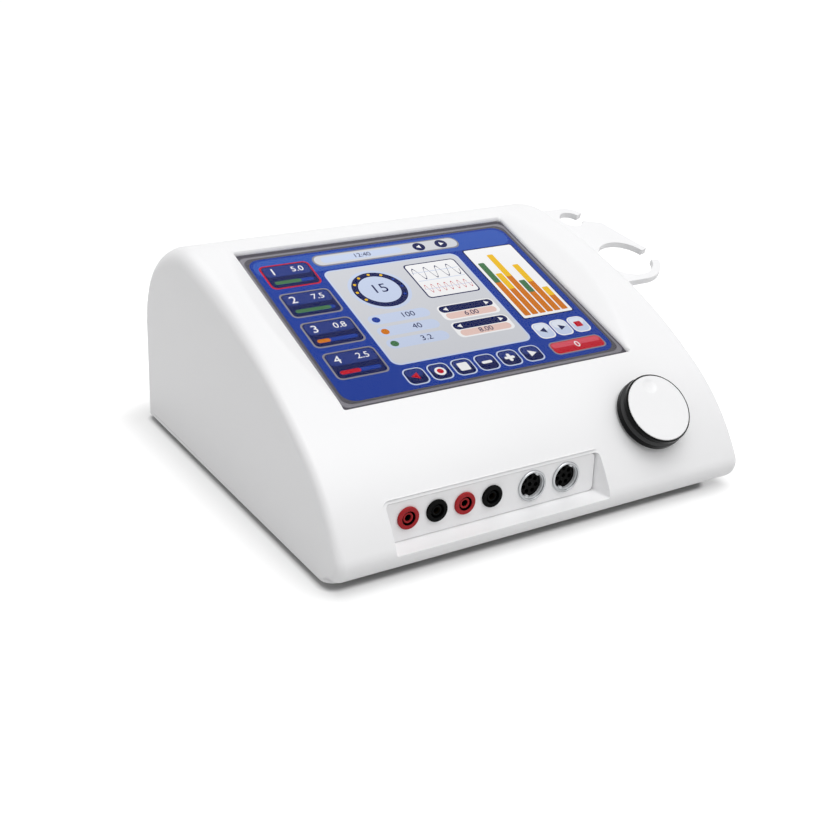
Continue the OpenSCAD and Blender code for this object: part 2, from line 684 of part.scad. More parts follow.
// Head holder
module mouth(r, angle) polygon([[0, 0], 2*r*[cos(angle), -sin(angle)], 2*r*[cos(angle), sin(angle)]]);
module holder_outline() difference() {
    outer = hook_r + arm_w;
    small_outer = small_hook_r + arm_w;
    union() {
        translate([hook_x, hook_s]) circle(outer, $fn = 96);
        translate([small_hook_x, small_hook_s]) circle(small_outer, $fn = 72);
        polygon([
            [holder_root, holder_front_s], [hook_x, holder_front_s],
            [hook_x + outer*cos(mouth_angle), hook_s + outer*sin(mouth_angle)],
            [small_hook_x + small_hook_r + 2.2*arm_w, small_hook_s - small_hook_r],
            [small_hook_x + small_hook_r, small_hook_s - small_hook_r*sin(small_mouth_angle)],
            [small_hook_x, holder_back_s], [holder_root, holder_back_s]]);
    }
    translate([hook_x, hook_s]) circle(hook_r, $fn = 96);
    translate([hook_x, hook_s]) mouth(outer, mouth_angle);
    translate([small_hook_x, small_hook_s]) circle(small_hook_r, $fn = 72);
    translate([small_hook_x, small_hook_s]) mouth(small_outer, small_mouth_angle);
}
module head_holder() color("white") difference() {
    union() {
        on_deck(0, 0, holder_n - holder_t) linear_extrude(holder_t) holder_outline();
        intersection() {
            on_side() translate([-over, -housing_d/2, 0]) cube([flange_t + over, housing_d, overall_h]);
            on_deck(holder_root, holder_front_s, holder_n - holder_t - flange_h)
                cube([through, holder_back_s - holder_front_s, flange_h + over]);
        }
    }
    on_side() translate([seat_gap - through, -housing_d/2, -overall_h])
        cube([through, housing_d, 3*overall_h]);
    at_holder_screws(-over) cylinder(r = screw_r + seat_gap, h = flange_t + 2*over);
}
module holder_screws() color("silver") at_holder_screws(flange_t + seat_gap) screw(flange_t + wall + 4);
module holder_nuts() color("silver") at_holder_screws(-wall - seat_gap - nut_h)
    hex_nut(nut_across, screw_r + seat_gap, nut_h);

// Boards
module board(place) difference() {
    translate([place[0], place[1], board_z]) slab(place[2], place[3], board_t, board_corner);
    at_board_holes([place]) bore(screw_r + seat_gap);
}
module on_board(place, x, y) translate([place[0] + x, place[1] + y, parts_z]) children();
module block(size) slab(size[0], size[1], size[2], board_t/2);
// A piece that is soldered in reaches through its board
module soldered(place, x, y) on_board(place, x, y) translate([0, 0, -board_t]) children();
module main_board() color("darkgreen") {
    board(main_place);
    for (i = [0:2]) soldered(main_place, header_first + i*header_pitch, main_d/2 - header_size[1])
        block(header_size);
}
module processor_module() color("seagreen") on_board(main_place, processor_x, 0) block(processor_size);
module stimulation_board() color("darkgreen") {
    board(stimulation_place);
    for (i = [0:3]) soldered(stimulation_place, (i - 1.5)*driver_pitch, driver_y) block(driver_size);
}
module output_transformers() color("saddlebrown") for (sx = [-1, 1])
    on_board(stimulation_place, sx*output_at[0], output_at[1]) block(output_size);
module ultrasound_board() color("darkgreen") {
    board(ultrasound_place);
    for (sx = [-1, 1]) soldered(ultrasound_place, sx*choke_at[0], choke_at[1])
        ring(choke_r, choke_bore, choke_h);
}
module heat_sink() color("darkgray") on_board(ultrasound_place, 0, sink_y) {
    block(sink_size);
    for (i = [-4:4]) translate([i*fin_pitch - fin_t/2, -sink_size[1]/2, sink_size[2]/2])
        cube([fin_t, sink_size[1], fin_h]);
}
module power_supply() color("darkolivegreen") {
    board(supply_place);
    for (i = [0:2]) soldered(supply_place, (i - 2)*capacitor_pitch, capacitor_y)
        cylinder(r = capacitor_r, h = capacitor_h);
    soldered(supply_place, filter_x, capacitor_y) block(filter_size);
}
module mains_transformer() color("peru") on_board(supply_place, transformer_at[0], transformer_at[1])
    block(transformer_size);
module board_spacers() color("goldenrod") at_board_holes(boards) translate([0, 0, shell_z])
    ring(spacer_r, screw_r + seat_gap, spacer_h - seat_gap);
module board_screws() color("silver") at_board_holes(boards) translate([0, 0, parts_z])
    screw(board_t + spacer_h + base_t - 0.5);
module speaker() color("black") translate([speaker_place[0], speaker_place[1], shell_z]) {
    cylinder(r1 = speaker_r*2/3, r2 = speaker_r, h = speaker_h);
    cylinder(r = speaker_r*7/9, h = speaker_h/4);
}

// Rear panel
module rear_panel() color("lightgray") difference() {
    on_rear(0, rear_z) translate([0, 0, -rear_t]) slab(rear_w, rear_h, rear_t - seat_gap, rear_lip - fit_gap);
    at_rear_screws(0) bore(screw_r + seat_gap);
    at_rear_screws(-sink_t) cylinder(r = 2*screw_r + seat_gap, h = rear_t);
    on_rear(inlet_x, rear_z) {
        translate([0, 0, -2*rear_t]) slab(inlet_w + 2*fit_gap, inlet_h + 2*fit_gap, 4*rear_t, inlet_corner);
        at_inlet_screws() bore(screw_r + seat_gap);
    }
    on_rear(switch_x, rear_z) translate([0, 0, -2*rear_t])
        slab(switch_w + 2*fit_gap, switch_h + 2*fit_gap, 4*rear_t, switch_lip);
    for (i = [0:slot_count - 1]) on_rear(-slot_first - i*slot_pitch, rear_z) translate([0, 0, -2*rear_t])
        slab(slot_w, slot_h, 4*rear_t, 0.45*slot_w);
}
module rear_panel_screws() color("silver") at_rear_screws(-sink_t + seat_gap) {
    cylinder(r = 2*screw_r - seat_gap, h = sink_t - 2*seat_gap);
    translate([0, 0, -rear_screw_len]) cylinder(r = screw_r - seat_gap, h = rear_screw_len + seat_gap);
}
module mains_inlet() color("black") on_rear(inlet_x, rear_z) difference() {
    union() {
        slab(inlet_flange_w, inlet_flange_h, inlet_flange_t, 4);
        translate([0, 0, -inlet_d]) slab(inlet_w, inlet_h, inlet_d + over/2, inlet_corner);
    }
    translate([0, 0, inlet_flange_t - recess_d]) slab(recess_w, recess_h, recess_d + over, 2);
    at_inlet_screws() bore(screw_r + seat_gap);
    for (p = blades) translate([p[0], p[1], -inlet_d - over]) linear_extrude(inlet_d)
        square([blade_w + 2*seat_gap, blade_h + 2*seat_gap], center = true);
}
module inlet_pins() color("silver") on_rear(inlet_x, rear_z)
    for (p = blades) translate([p[0], p[1], -inlet_d - blade_tail])
        linear_extrude(inlet_d + blade_tail - blade_drop) square([blade_w, blade_h], center = true);
module inlet_screws() color("silver") on_rear(inlet_x, rear_z)
    translate([0, 0, inlet_flange_t + seat_gap]) at_inlet_screws() screw(inlet_flange_t + rear_t + 5);
module switch_frame() color("black") on_rear(switch_x, rear_z) difference() {
    union() {
        slab(switch_w + 2*switch_lip, switch_h + 2*switch_lip, switch_lip_t, switch_lip);
        translate([0, 0, -switch_d]) slab(switch_w, switch_h, switch_d + over/2, switch_lip);
    }
    translate([0, 0, switch_floor - switch_d]) slab(rocker_w + 2*fit_gap, rocker_window, through, fit_gap);
    translate([0, 0, -rocker_axis_d]) rotate([0, 90, 0]) bore(pin_r + seat_gap);
}
// The rocker rests with its lower end pressed in
module switch_rocker() color("black") on_rear(switch_x, rear_z) translate([0, 0, -rocker_axis_d])
    rotate([rocker_tilt, 0, 0]) difference() {
        rotate([90, 0, 90]) linear_extrude(rocker_w, center = true) {
            end = rocker_h/2;
            top = rocker_axis_d + rocker_rise;
            circle(hub_r);
            polygon([[-hub_r, 0], [hub_r, 0], [end - rocker_draft, rocker_axis_d - rocker_skirt], [end, top],
                [0, rocker_axis_d + rocker_rise/3], [-end, top],
                [rocker_draft - end, rocker_axis_d - rocker_skirt]]);
        }
        rotate([0, 90, 0]) bore(pin_r + run_gap);
    }
module rocker_pin() color("silver") on_rear(switch_x, rear_z) translate([0, 0, -rocker_axis_d])
    rotate([0, 90, 0]) cylinder(r = pin_r, h = switch_w - 2*fit_gap, center = true);

in_frame() upper_housing();
in_frame() base_tray();
in_frame() rear_panel();
in_frame() rubber_feet();
in_frame() housing_screws();
in_frame() foot_screws();
in_frame() rear_panel_screws();
in_frame() display_gasket();
in_frame() touch_glass();
in_frame() lcd_panel();
in_frame() display_frame();
in_frame() display_screws();
in_frame() dial_body();
in_frame() dial_cap();
in_frame() dial_shaft();
in_frame() encoder_body();
in_frame() encoder_nut();
in_frame() socket_panel();
in_frame() socket_panel_screws();
in_frame() red_sockets();
in_frame() black_sockets();
in_frame() socket_contacts();
in_frame() socket_nuts();
in_frame() connector_shells();
in_frame() connector_inserts();
in_frame() connector_nuts();
in_frame() head_holder();
in_frame() holder_screws();
in_frame() holder_nuts();
in_frame() main_board();
in_frame() processor_module();
in_frame() stimulation_board();
in_frame() output_transformers();
in_frame() ultrasound_board();
in_frame() heat_sink();
in_frame() power_supply();
in_frame() mains_transformer();
in_frame() board_spacers();
in_frame() board_screws();
in_frame() speaker();
in_frame() mains_inlet();
in_frame() inlet_pins();
in_frame() inlet_screws();
in_frame() switch_frame();
in_frame() switch_rocker();
in_frame() rocker_pin();
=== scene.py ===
from math import acos, asin, atan2, cos, pi, radians, sin, sqrt, tan

import bmesh
import bpy
from mathutils import Matrix, Vector


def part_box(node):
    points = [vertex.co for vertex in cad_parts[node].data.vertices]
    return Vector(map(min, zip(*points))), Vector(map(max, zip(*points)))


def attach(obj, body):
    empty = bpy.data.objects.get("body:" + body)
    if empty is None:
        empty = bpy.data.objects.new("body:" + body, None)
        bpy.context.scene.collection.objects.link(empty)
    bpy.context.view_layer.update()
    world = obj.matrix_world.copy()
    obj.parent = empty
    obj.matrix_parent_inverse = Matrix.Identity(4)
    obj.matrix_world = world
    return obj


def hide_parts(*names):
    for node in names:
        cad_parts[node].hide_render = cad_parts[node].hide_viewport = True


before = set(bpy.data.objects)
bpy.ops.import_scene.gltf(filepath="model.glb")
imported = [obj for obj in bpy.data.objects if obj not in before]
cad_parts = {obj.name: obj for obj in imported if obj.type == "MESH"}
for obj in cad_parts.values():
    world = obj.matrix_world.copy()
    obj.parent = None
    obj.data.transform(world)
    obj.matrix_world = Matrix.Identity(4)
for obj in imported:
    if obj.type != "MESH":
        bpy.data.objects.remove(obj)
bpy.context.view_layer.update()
scene = bpy.context.scene
mm = 0.001

# Camera, table and light: the unit stands on a white table that runs on into a white room.
# A broad lamp hangs over the front and a weak one behind, and the sides get what the room gives back.
scene.view_settings.view_transform = "Standard"
camera_data = bpy.data.cameras.new("camera")
camera_data.lens = 55.71
camera_data.sensor_width = 36
camera = bpy.data.objects.new("camera", camera_data)
camera_place = Vector((-0.4497, -0.6738, 0.3658))
camera_azimuth = radians(31.34)
camera_fall = radians(22.88)
camera_roll = radians(1.31)
camera.matrix_world = (
    Matrix.Translation(camera_place)
    @ Matrix.Rotation(-camera_azimuth, 4, "Z")
    @ Matrix.Rotation(pi / 2 - camera_fall, 4, "X")
    @ Matrix.Rotation(camera_roll, 4, "Z")
)
scene.collection.objects.link(camera)
scene.camera = camera


def seen_directly(tree):
    """1 where the camera, a mirror or a pane looks, 0 where only light is gathered"""
    path = tree.nodes.new("ShaderNodeLightPath")
    result = path.outputs["Is Camera Ray"]
    for ray in ("Is Glossy Ray", "Is Transmission Ray"):
        either = tree.nodes.new("ShaderNodeMath")
        either.operation = "MAXIMUM"
        tree.links.new(result, either.inputs[0])
        tree.links.new(path.outputs[ray], either.inputs[1])
        result = either.outputs[0]
    return result


room_light = 0.46
room = bpy.data.worlds.new("white_room")
scene.world = room
room.use_nodes = True
room.node_tree.nodes.clear()
room_end = room.node_tree.nodes.new("ShaderNodeOutputWorld")
room_mix = room.node_tree.nodes.new("ShaderNodeMixShader")
room.node_tree.links.new(seen_directly(room.node_tree), room_mix.inputs[0])
for socket, strength in ((1, room_light), (2, 1.0)):
    glow = room.node_tree.nodes.new("ShaderNodeBackground")
    glow.inputs["Color"].default_value = (1, 1, 1, 1)
    glow.inputs["Strength"].default_value = strength
    room.node_tree.links.new(glow.outputs[0], room_mix.inputs[socket])
room.node_tree.links.new(room_mix.outputs[0], room_end.inputs["Surface"])

# Each painted shade on the table is where it starts and ends, off a rounded block under the unit, and
# the glow it grows to
unit_lo, unit_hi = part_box("base_tray")
shade_shift = Vector((0.008, 0.001, 0))
shade_inset = Vector((0.0165, 0.009, 0))
shade_mid = (unit_lo + unit_hi) / 2 - shade_shift
shade_half = (unit_hi - unit_lo) / 2 - shade_inset
shade_corner = 0.010
painted_shades = ((-0.003, 0.0024, 0.36), (0.0024, 0.050, 0.36))


def away_from_unit(tree):
    """Grows from nothing under the unit to the full glow, which paints shade on the table: a dark line,
    then a broad faint shade
    """
    where = tree.nodes.new("ShaderNodeTexCoord")
    off = tree.nodes.new("ShaderNodeVectorMath")
    off.operation = "SUBTRACT"
    off.inputs[1].default_value = (shade_mid.x, shade_mid.y, 0)
    size = tree.nodes.new("ShaderNodeVectorMath")
    size.operation = "ABSOLUTE"
    beyond = tree.nodes.new("ShaderNodeVectorMath")
    beyond.operation = "SUBTRACT"
    beyond.inputs[1].default_value = (shade_half.x, shade_half.y, 0)
    outside = tree.nodes.new("ShaderNodeVectorMath")
    outside.operation = "MAXIMUM"
    outside.inputs[1].default_value = (0, 0, 0)
    gap = tree.nodes.new("ShaderNodeVectorMath")
    gap.operation = "LENGTH"
    tree.links.new(where.outputs["Object"], off.inputs[0])
    tree.links.new(off.outputs[0], size.inputs[0])
    tree.links.new(size.outputs[0], beyond.inputs[0])
    tree.links.new(beyond.outputs[0], outside.inputs[0])
    tree.links.new(outside.outputs[0], gap.inputs[0])
    glows = []
    for near, far, glow in painted_shades:
        spread = tree.nodes.new("ShaderNodeMapRange")
        spread.interpolation_type = "SMOOTHSTEP"
        spread.inputs["From Min"].default_value = shade_corner + near
        spread.inputs["From Max"].default_value = shade_corner + far
        spread.inputs["To Max"].default_value = glow
        tree.links.new(gap.outputs["Value"], spread.inputs["Value"])
        glows.append(spread.outputs["Result"])
    both = tree.nodes.new("ShaderNodeMath")
    tree.links.new(glows[0], both.inputs[0])
    tree.links.new(glows[1], both.inputs[1])
    return both.outputs[0]


table_half = 12
table_paint_grey = 0.66
table_white = bpy.data.materials.new("table_white")
table_white.use_nodes = True
table_tree = table_white.node_tree
table_tree.nodes.clear()
table_end = table_tree.nodes.new("ShaderNodeOutputMaterial")
table_sum = table_tree.nodes.new("ShaderNodeAddShader")
table_paint = table_tree.nodes.new("ShaderNodeBsdfDiffuse")
table_paint.inputs["Color"].default_value = (table_paint_grey, table_paint_grey, table_paint_grey, 1)
table_glow = table_tree.nodes.new("ShaderNodeEmission")
# The table's glow is held back near the unit, so that the table shows a painted shadow round it
table_lift = table_tree.nodes.new("ShaderNodeMath")
table_lift.operation = "MULTIPLY"
table_tree.links.new(seen_directly(table_tree), table_lift.inputs[0])
table_tree.links.new(away_from_unit(table_tree), table_lift.inputs[1])
table_tree.links.new(table_lift.outputs[0], table_glow.inputs["Strength"])
table_tree.links.new(table_paint.outputs[0], table_sum.inputs[0])
table_tree.links.new(table_glow.outputs[0], table_sum.inputs[1])
table_tree.links.new(table_sum.outputs[0], table_end.inputs["Surface"])
table_mesh = bpy.data.meshes.new("table")
table_bm = bmesh.new()
bmesh.ops.create_grid(table_bm, x_segments=1, y_segments=1, size=table_half)
table_bm.to_mesh(table_mesh)
table_bm.free()
table_mesh.materials.append(table_white)
table = bpy.data.objects.new("table", table_mesh)
scene.collection.objects.link(table)

lamp_target = Vector((0, 0, 0.06))
lamps = (
    ("overhead_lamp", (0.08, -0.62, 1.58), 1.6, 16.6),
    ("back_lamp", (-0.35, 1.1, 1.4), 1.0, 3.5),
)
for name, place, size, power in lamps:
    lamp_data = bpy.data.lights.new(name, "AREA")
    lamp_data.shape = "DISK"
    lamp_data.size = size
    lamp_data.energy = power
    lamp = bpy.data.objects.new(name, lamp_data)
    aim = lamp_target - Vector(place)
    lamp.matrix_world = Matrix.Translation(place) @ aim.to_track_quat("-Z", "Y").to_matrix().to_4x4()
    scene.collection.objects.link(lamp)

# The moulded housing: one wedge of satin white plastic with drafted sides and a rounded edge.
# Its profile is four arcs, the display deck is sunk between soft banks, and the nose, the deck
# and the back are opened for the socket bay, the screen and the rear panel.


def fine_surface():
    """Fine grain, and slow changes of tone and gloss, over any moulded or machined surface"""
    group = bpy.data.node_groups.new("fine_surface", "ShaderNodeTree")
    sockets = (
        ("Colour", "INPUT", "Color"),
        ("Roughness", "INPUT", "Float"),
        ("Spread", "INPUT", "Float"),
        ("Scale", "INPUT", "Float"),
        ("Colour", "OUTPUT", "Color"),
        ("Roughness", "OUTPUT", "Float"),
        ("Height", "OUTPUT", "Float"),
    )
    for label, way, kind in sockets:
        group.interface.new_socket(label, in_out=way, socket_type="NodeSocket" + kind)
    made = group.nodes
    link = group.links.new
    given = made.new("NodeGroupInput")
    put = made.new("NodeGroupOutput")
    where = made.new("ShaderNodeTexCoord")
    fine = made.new("ShaderNodeTexNoise")
    fine.inputs["Detail"].default_value = 3
    broad = made.new("ShaderNodeTexNoise")
    broad.inputs["Scale"].default_value = 14
    broad.inputs["Detail"].default_value = 2
    link(where.outputs["Object"], fine.inputs["Vector"])
    link(where.outputs["Object"], broad.inputs["Vector"])
    link(given.outputs["Scale"], fine.inputs["Scale"])
    centred = made.new("ShaderNodeMath")
    centred.operation = "SUBTRACT"
    centred.inputs[1].default_value = 0.5
    link(broad.outputs["Fac"], centred.inputs[0])
    rough = made.new("ShaderNodeMath")
    rough.operation = "MULTIPLY_ADD"
    link(centred.outputs[0], rough.inputs[0])
    link(given.outputs["Spread"], rough.inputs[1])
    link(given.outputs["Roughness"], rough.inputs[2])
    tone = made.new("ShaderNodeMapRange")
    tone.inputs["To Min"].default_value = 0.985
    tone.inputs["To Max"].default_value = 1.015
    link(broad.outputs["Fac"], tone.inputs["Value"])
    tint = made.new("ShaderNodeVectorMath")
    tint.operation = "SCALE"
    link(given.outputs["Colour"], tint.inputs[0])
    link(tone.outputs["Result"], tint.inputs["Scale"])
    link(tint.outputs[0], put.inputs["Colour"])
    link(rough.outputs[0], put.inputs["Roughness"])
    link(fine.outputs["Fac"], put.inputs["Height"])
    return group


surface_group = fine_surface()
gloss_spread = 0.08
crease_angle = 35


def linear(code):
    """A colour written as it shows on a screen, such as 1f3f9f, in the light's own scale"""
    shown = [int(code[i:i + 2], 16) / 255 for i in (0, 2, 4)]
    return [c / 12.92 if c < 0.04045 else ((c + 0.055) / 1.055) ** 2.4 for c in shown] + [1]


def finish(name, code, roughness, grain, bump, metallic=0.0, specular=0.5):
    """A material with fine grain: grain is in marks per metre, bump is their height in metres"""
    material = bpy.data.materials.new(name)
    material.use_nodes = True
    tree = material.node_tree
    shader = tree.nodes["Principled BSDF"]
    skin = tree.nodes.new("ShaderNodeGroup")
    skin.node_tree = surface_group
    skin.inputs["Colour"].default_value = linear(code)
    skin.inputs["Roughness"].default_value = roughness
    skin.inputs["Spread"].default_value = gloss_spread
    skin.inputs["Scale"].default_value = grain
    relief = tree.nodes.new("ShaderNodeBump")
    relief.inputs["Strength"].default_value = 0.5
    relief.inputs["Distance"].default_value = bump
    tree.links.new(skin.outputs["Height"], relief.inputs["Height"])
    tree.links.new(skin.outputs["Colour"], shader.inputs["Base Color"])
    tree.links.new(skin.outputs["Roughness"], shader.inputs["Roughness"])
    tree.links.new(relief.outputs["Normal"], shader.inputs["Normal"])
    shader.inputs["Metallic"].default_value = metallic
    shader.inputs["Specular IOR Level"].default_value = specular
    return material


def piece(bm, name, body, materials, replaced, weighted=True):
    """A finished mesh as a piece of the unit: smooth but for its creases, riding on a body"""
    mesh = bpy.data.meshes.new(name)
    bm.to_mesh(mesh)
    bm.free()
    mesh.shade_smooth()
    mesh.set_sharp_from_angle(angle=radians(crease_angle))
    for material in materials:
        mesh.materials.append(material)
    made = bpy.data.objects.new(name, mesh)
    scene.collection.objects.link(made)
    if weighted:
        evened = made.modifiers.new("even_normals", "WEIGHTED_NORMAL")
        evened.keep_sharp = True
    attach(made, body)
    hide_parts(*replaced)
    return made


def creased(bm, angle):
    """The edges where two faces meet at more than this angle, in degrees"""
    return [e for e in bm.edges if len(e.link_faces) == 2 and e.calc_face_angle() > radians(angle)]


white_plastic = finish("white_plastic", "f4f4f5", 0.38, 1500, 0.00002)
housing_lo, housing_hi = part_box("upper_housing")
unit_mid = Vector(((housing_lo.x + housing_hi.x) / 2, (housing_lo.y + housing_hi.y) / 2, 0))
to_row = Matrix.Translation(unit_mid) @ Matrix.Scale(mm, 4)
housing_w, housing_d, housing_h = 295, 295, 140
wall_t = 2.2
sill_z, sill_inset = 6.5, 1
nose_edge_r, crown_edge_r, back_edge_r = 5.5, 12, 8
nose_edge_end, nose_edge_blend = radians(29), radians(15)
back_edge_end, back_edge_blend = radians(60), radians(45)
draft = radians(1.4)
nose_r, front_r, crown_r, back_r = 12, 131, 440, 70
nose_end = radians(63)


def off_slope(slope):
    """The way off the surface, as [y, z], where it rises at this slope"""
    return Vector((-sin(slope), cos(slope)))


def crossing(p, a, q, b):
    """Where a circle of radius a round p meets one of radius b round q"""
    across = q - p
    d = across.length
    along = (d * d + a * a - b * b) / (2 * d)
    off = sqrt(a * a - along * along)
    e = across / d
    return p + along * e + off * Vector((e.y, -e.x))


def slope_between(centre, other):
    """The slope at which two arcs meet in one tangent, by their centres"""
    return atan2(centre.x - other.x, other.y - centre.y)


# Points of the profile are [y, z], and each row is such a point with the way off the surface there
nose_c = Vector((-housing_d / 2 + nose_r, sill_z + nose_r))
front_c = nose_c - (front_r - nose_r) * off_slope(nose_end)
back_c = Vector((housing_d / 2 - back_r, housing_h - back_r))
crown_c = crossing(front_c, crown_r - front_r, back_c, crown_r - back_r)
front_end = slope_between(crown_c, front_c)
deck_front_y = -82.0
deck_back_y = 75.0
screen_h = 158.4
screen_left, screen_right = -110.4, 100.8
screen_low, screen_high = -83.6, 79.2
deck_start = Vector((deck_front_y, crown_c.y + sqrt(crown_r**2 - (deck_front_y - crown_c.x) ** 2)))
deck_stop = Vector((deck_back_y, back_c.y + sqrt(back_r**2 - (deck_back_y - back_c.x) ** 2)))
deck_along = (deck_stop - deck_start).normalized()
deck_off = Vector((-deck_along.y, deck_along.x))
screen_mid = deck_start + deck_along * screen_h / 2
bay_left, bay_right, bay_floor, bay_top = -110.2, 40.0, 18.6, 44.1
bay_back, bay_back_right = -130.5, 37.4
rear_half, rear_low, rear_high = 114.3, 12.7, 63.3
rear_depth = 5.6


def arc_rows(centre, radius, start, end, steps):
    """Rows along an arc from one slope to another, without the first"""
    turns = [start + (end - start) * (i + 1) / steps for i in range(steps)]
    return [(centre + radius * off_slope(t), off_slope(t)) for t in turns]


def deck_row(s):
    """The row of the crown or the back that lies over a point s up the deck from the screen's middle"""
    crown_end = slope_between(crown_c, back_c)
    for centre, radius in ((crown_c, crown_r), (back_c, back_r)):
        aside = (screen_mid + deck_along * s - centre).dot(deck_along) / radius
        off = deck_along * aside + deck_off * sqrt(1 - aside * aside)
        if -off.x > sin(crown_end):
            break
    return (centre + radius * off, off)


rows = [(nose_c + nose_r * off_slope(pi), off_slope(pi))]
rows += arc_rows(nose_c, nose_r, pi, acos((bay_floor - nose_c.y) / nose_r), 10)
bay_rows = [len(rows) - 1]
rows += arc_rows(nose_c, nose_r, acos((bay_floor - nose_c.y) / nose_r), nose_end, 4)
bay_top_slope = acos((bay_top - front_c.y) / front_r)
rows += arc_rows(front_c, front_r, nose_end, bay_top_slope, 4)
bay_rows.append(len(rows) - 1)
rows += arc_rows(front_c, front_r, bay_top_slope, front_end, 12)
screen_foot_off = deck_row(screen_low)[1]
rows += arc_rows(crown_c, crown_r, front_end, atan2(-screen_foot_off.x, screen_foot_off.y), 6)
deck_rows = [len(rows) - 1]
deck_steps = 44
deck_step = (screen_high - screen_low) / deck_steps
rows += [deck_row(screen_low + deck_step * (i + 1)) for i in range(deck_steps)]
deck_rows.append(len(rows) - 1)
crest_steps = 7
crest = (deck_stop - deck_start).length - screen_h / 2 - screen_high
rows += [deck_row(screen_high + crest * (i + 1) / crest_steps) for i in range(crest_steps)]
rows += arc_rows(back_c, back_r, asin((back_c.x - deck_back_y) / back_r), -pi / 2, 30)
rear_rows = []
for low, steps in ((rear_high, 2), (rear_low, 8), (sill_z, 2)):
    top = rows[-1][0].y
    heights = [top + (low - top) * (i + 1) / steps for i in range(steps)]
    rows += [(Vector((housing_d / 2, z)), off_slope(-pi / 2)) for z in heights]
    rear_rows.append(len(rows) - 1)

fillet_steps = 10
spans = (14, 30, 14, 16)
columns = 2 * fillet_steps + sum(spans)
left_column = fillet_steps + spans[0]
bay_column = left_column + spans[1]
right_column = bay_column + spans[2]


def stop_at(row, bay, screen, rear):
    """Where a column that borders openings runs: it drifts from one opening's edge to the next one's"""
    if row <= bay_rows[1]:
        return bay
    if row < deck_rows[0]:
        return bay + (screen - bay) * (row - bay_rows[1]) / (deck_rows[0] - bay_rows[1])
    if row <= deck_rows[1]:
        return screen
    if row < rear_rows[0]:
        return screen + (rear - screen) * (row - deck_rows[1]) / (rear_rows[0] - deck_rows[1])
    return rear


bank_slope = radians(27)
bank_blend = 1.2


def sunk(p):
    """Lowers a point of the crown into the deck, whose banks run out softly"""
    n = (Vector((p.y, p.z)) - screen_mid).dot(deck_off)
    floor = max(0.0, screen_left - p.x, p.x - screen_right) * tan(bank_slope)
    near = max(bank_blend - abs(n - floor), 0.0) / bank_blend
    depth = n - min(n, floor) + near * near * bank_blend / 4
    return p - depth * Vector((0, deck_off.x, deck_off.y))


def edge_at(off):
    """The side edge's radius: tight along the front, wide over the crown, narrower down the back"""
    slope = atan2(-off.x, off.y)
    if slope > 0:
        end_r = nose_edge_r
        share = (nose_edge_end - slope) / nose_edge_blend
    else:
        end_r = back_edge_r
        share = (slope + back_edge_end) / back_edge_blend
    share = min(1.0, max(0.0, share))
    return end_r + (crown_edge_r - end_r) * share * share * (3 - 2 * share)


def skin_point(i, j):
    """A point of the outer skin, by its column and its row; the first row is the sill's front edge"""
    (y, z), off = rows[max(j - 1, 0)]
    edge_r = edge_at(off)
    up = Vector((0, off.x, off.y))
    hub = Vector((0, y, z)) - edge_r * up
    hub_x = housing_w / 2 - (hub.z - sill_z) * tan(draft) - edge_r / cos(draft)
    half = fillet_steps + sum(spans)
    if i < fillet_steps or i > half:
        side = -1 if i < fillet_steps else 1
        turn = (fillet_steps - i if side < 0 else i - half) / fillet_steps
        if j == 0:
            bend = turn * pi / 2
            return Vector((side * (housing_w / 2 - edge_r + edge_r * sin(bend)),
                           nose_c.x + sill_inset + edge_r - edge_r * cos(bend), sill_z))
        wall = Vector((side * cos(draft), 0, sin(draft)))
        return Vector((side * hub_x, hub.y, hub.z)) + edge_r * up.slerp(wall, turn)
    row = max(j - 1, 0)
    stops = (-hub_x, stop_at(row, bay_left, screen_left, -rear_half), bay_right,
             stop_at(row, screen_right, screen_right, rear_half), hub_x)
    k, span = i - fillet_steps, 0
    while k > spans[span]:
        k -= spans[span]
        span += 1
    x = stops[span] + (stops[span + 1] - stops[span]) * k / spans[span]
    if j == 0:
        return Vector((x, nose_c.x + sill_inset, sill_z))
    return sunk(Vector((x, y, z)))


skin = bmesh.new()
bmesh.ops.create_grid(skin, x_segments=columns, y_segments=len(rows), size=1)
spot = {}
for v in skin.verts:
    spot[v] = (round((v.co.x + 1) / 2 * columns), round((v.co.y + 1) / 2 * len(rows)))
for v, (i, j) in spot.items():
    v.co = skin_point(i, j)
by_spot = {ij: v for v, ij in spot.items()}
for i in (0, columns):
    sill = skin.edges.new((by_spot[i, 0], by_spot[i, len(rows)]))
    rim = [skin.edges.get((by_spot[i, j], by_spot[i, j + 1])) for j in range(len(rows))]
    bmesh.ops.edgeloop_fill(skin, edges=rim + [sill])
bmesh.ops.recalc_face_normals(skin, faces=skin.faces)


def open_window(first, last, low, high):
    """Takes out the faces between two columns and two rows, and gives back the edges left round them"""
    inside = []
    for f in skin.faces:
        place = [spot.get(v, (-1, -1)) for v in f.verts]
        middle = [sum(p[k] for p in place) / len(place) for k in (0, 1)]
        if len(place) == 4 and first < middle[0] < last and low < middle[1] < high:
            inside.append(f)
    bmesh.ops.delete(skin, geom=inside, context="FACES")
    ring = {by_spot[i, j] for i in range(first, last + 1) for j in (low, high)}
    ring |= {by_spot[i, j] for i in (first, last) for j in range(low, high + 1)}
    return [e for e in skin.edges if len(e.link_faces) == 1 and set(e.verts) <= ring]


def wall_in(border, corners, move, radii):
    """Runs a wall in from an opening's border, and rounds the wall's own corners"""
    made = bmesh.ops.extrude_edge_only(skin, edges=border)["geom"]
    for v in made:
        if isinstance(v, bmesh.types.BMVert):
            v.co = move(v.co)
    fresh = set(made)
    for corner, radius in zip(corners, radii):
        upright = [e for e in by_spot[corner].link_edges if e.other_vert(by_spot[corner]) in fresh]
        bmesh.ops.bevel(skin, geom=upright, offset=radius, offset_type="OFFSET", segments=6, profile=0.5,
                        affect="EDGES", material=-1)


deck_wall, deck_splay = 1.9, 2.0
rim_angle = 45


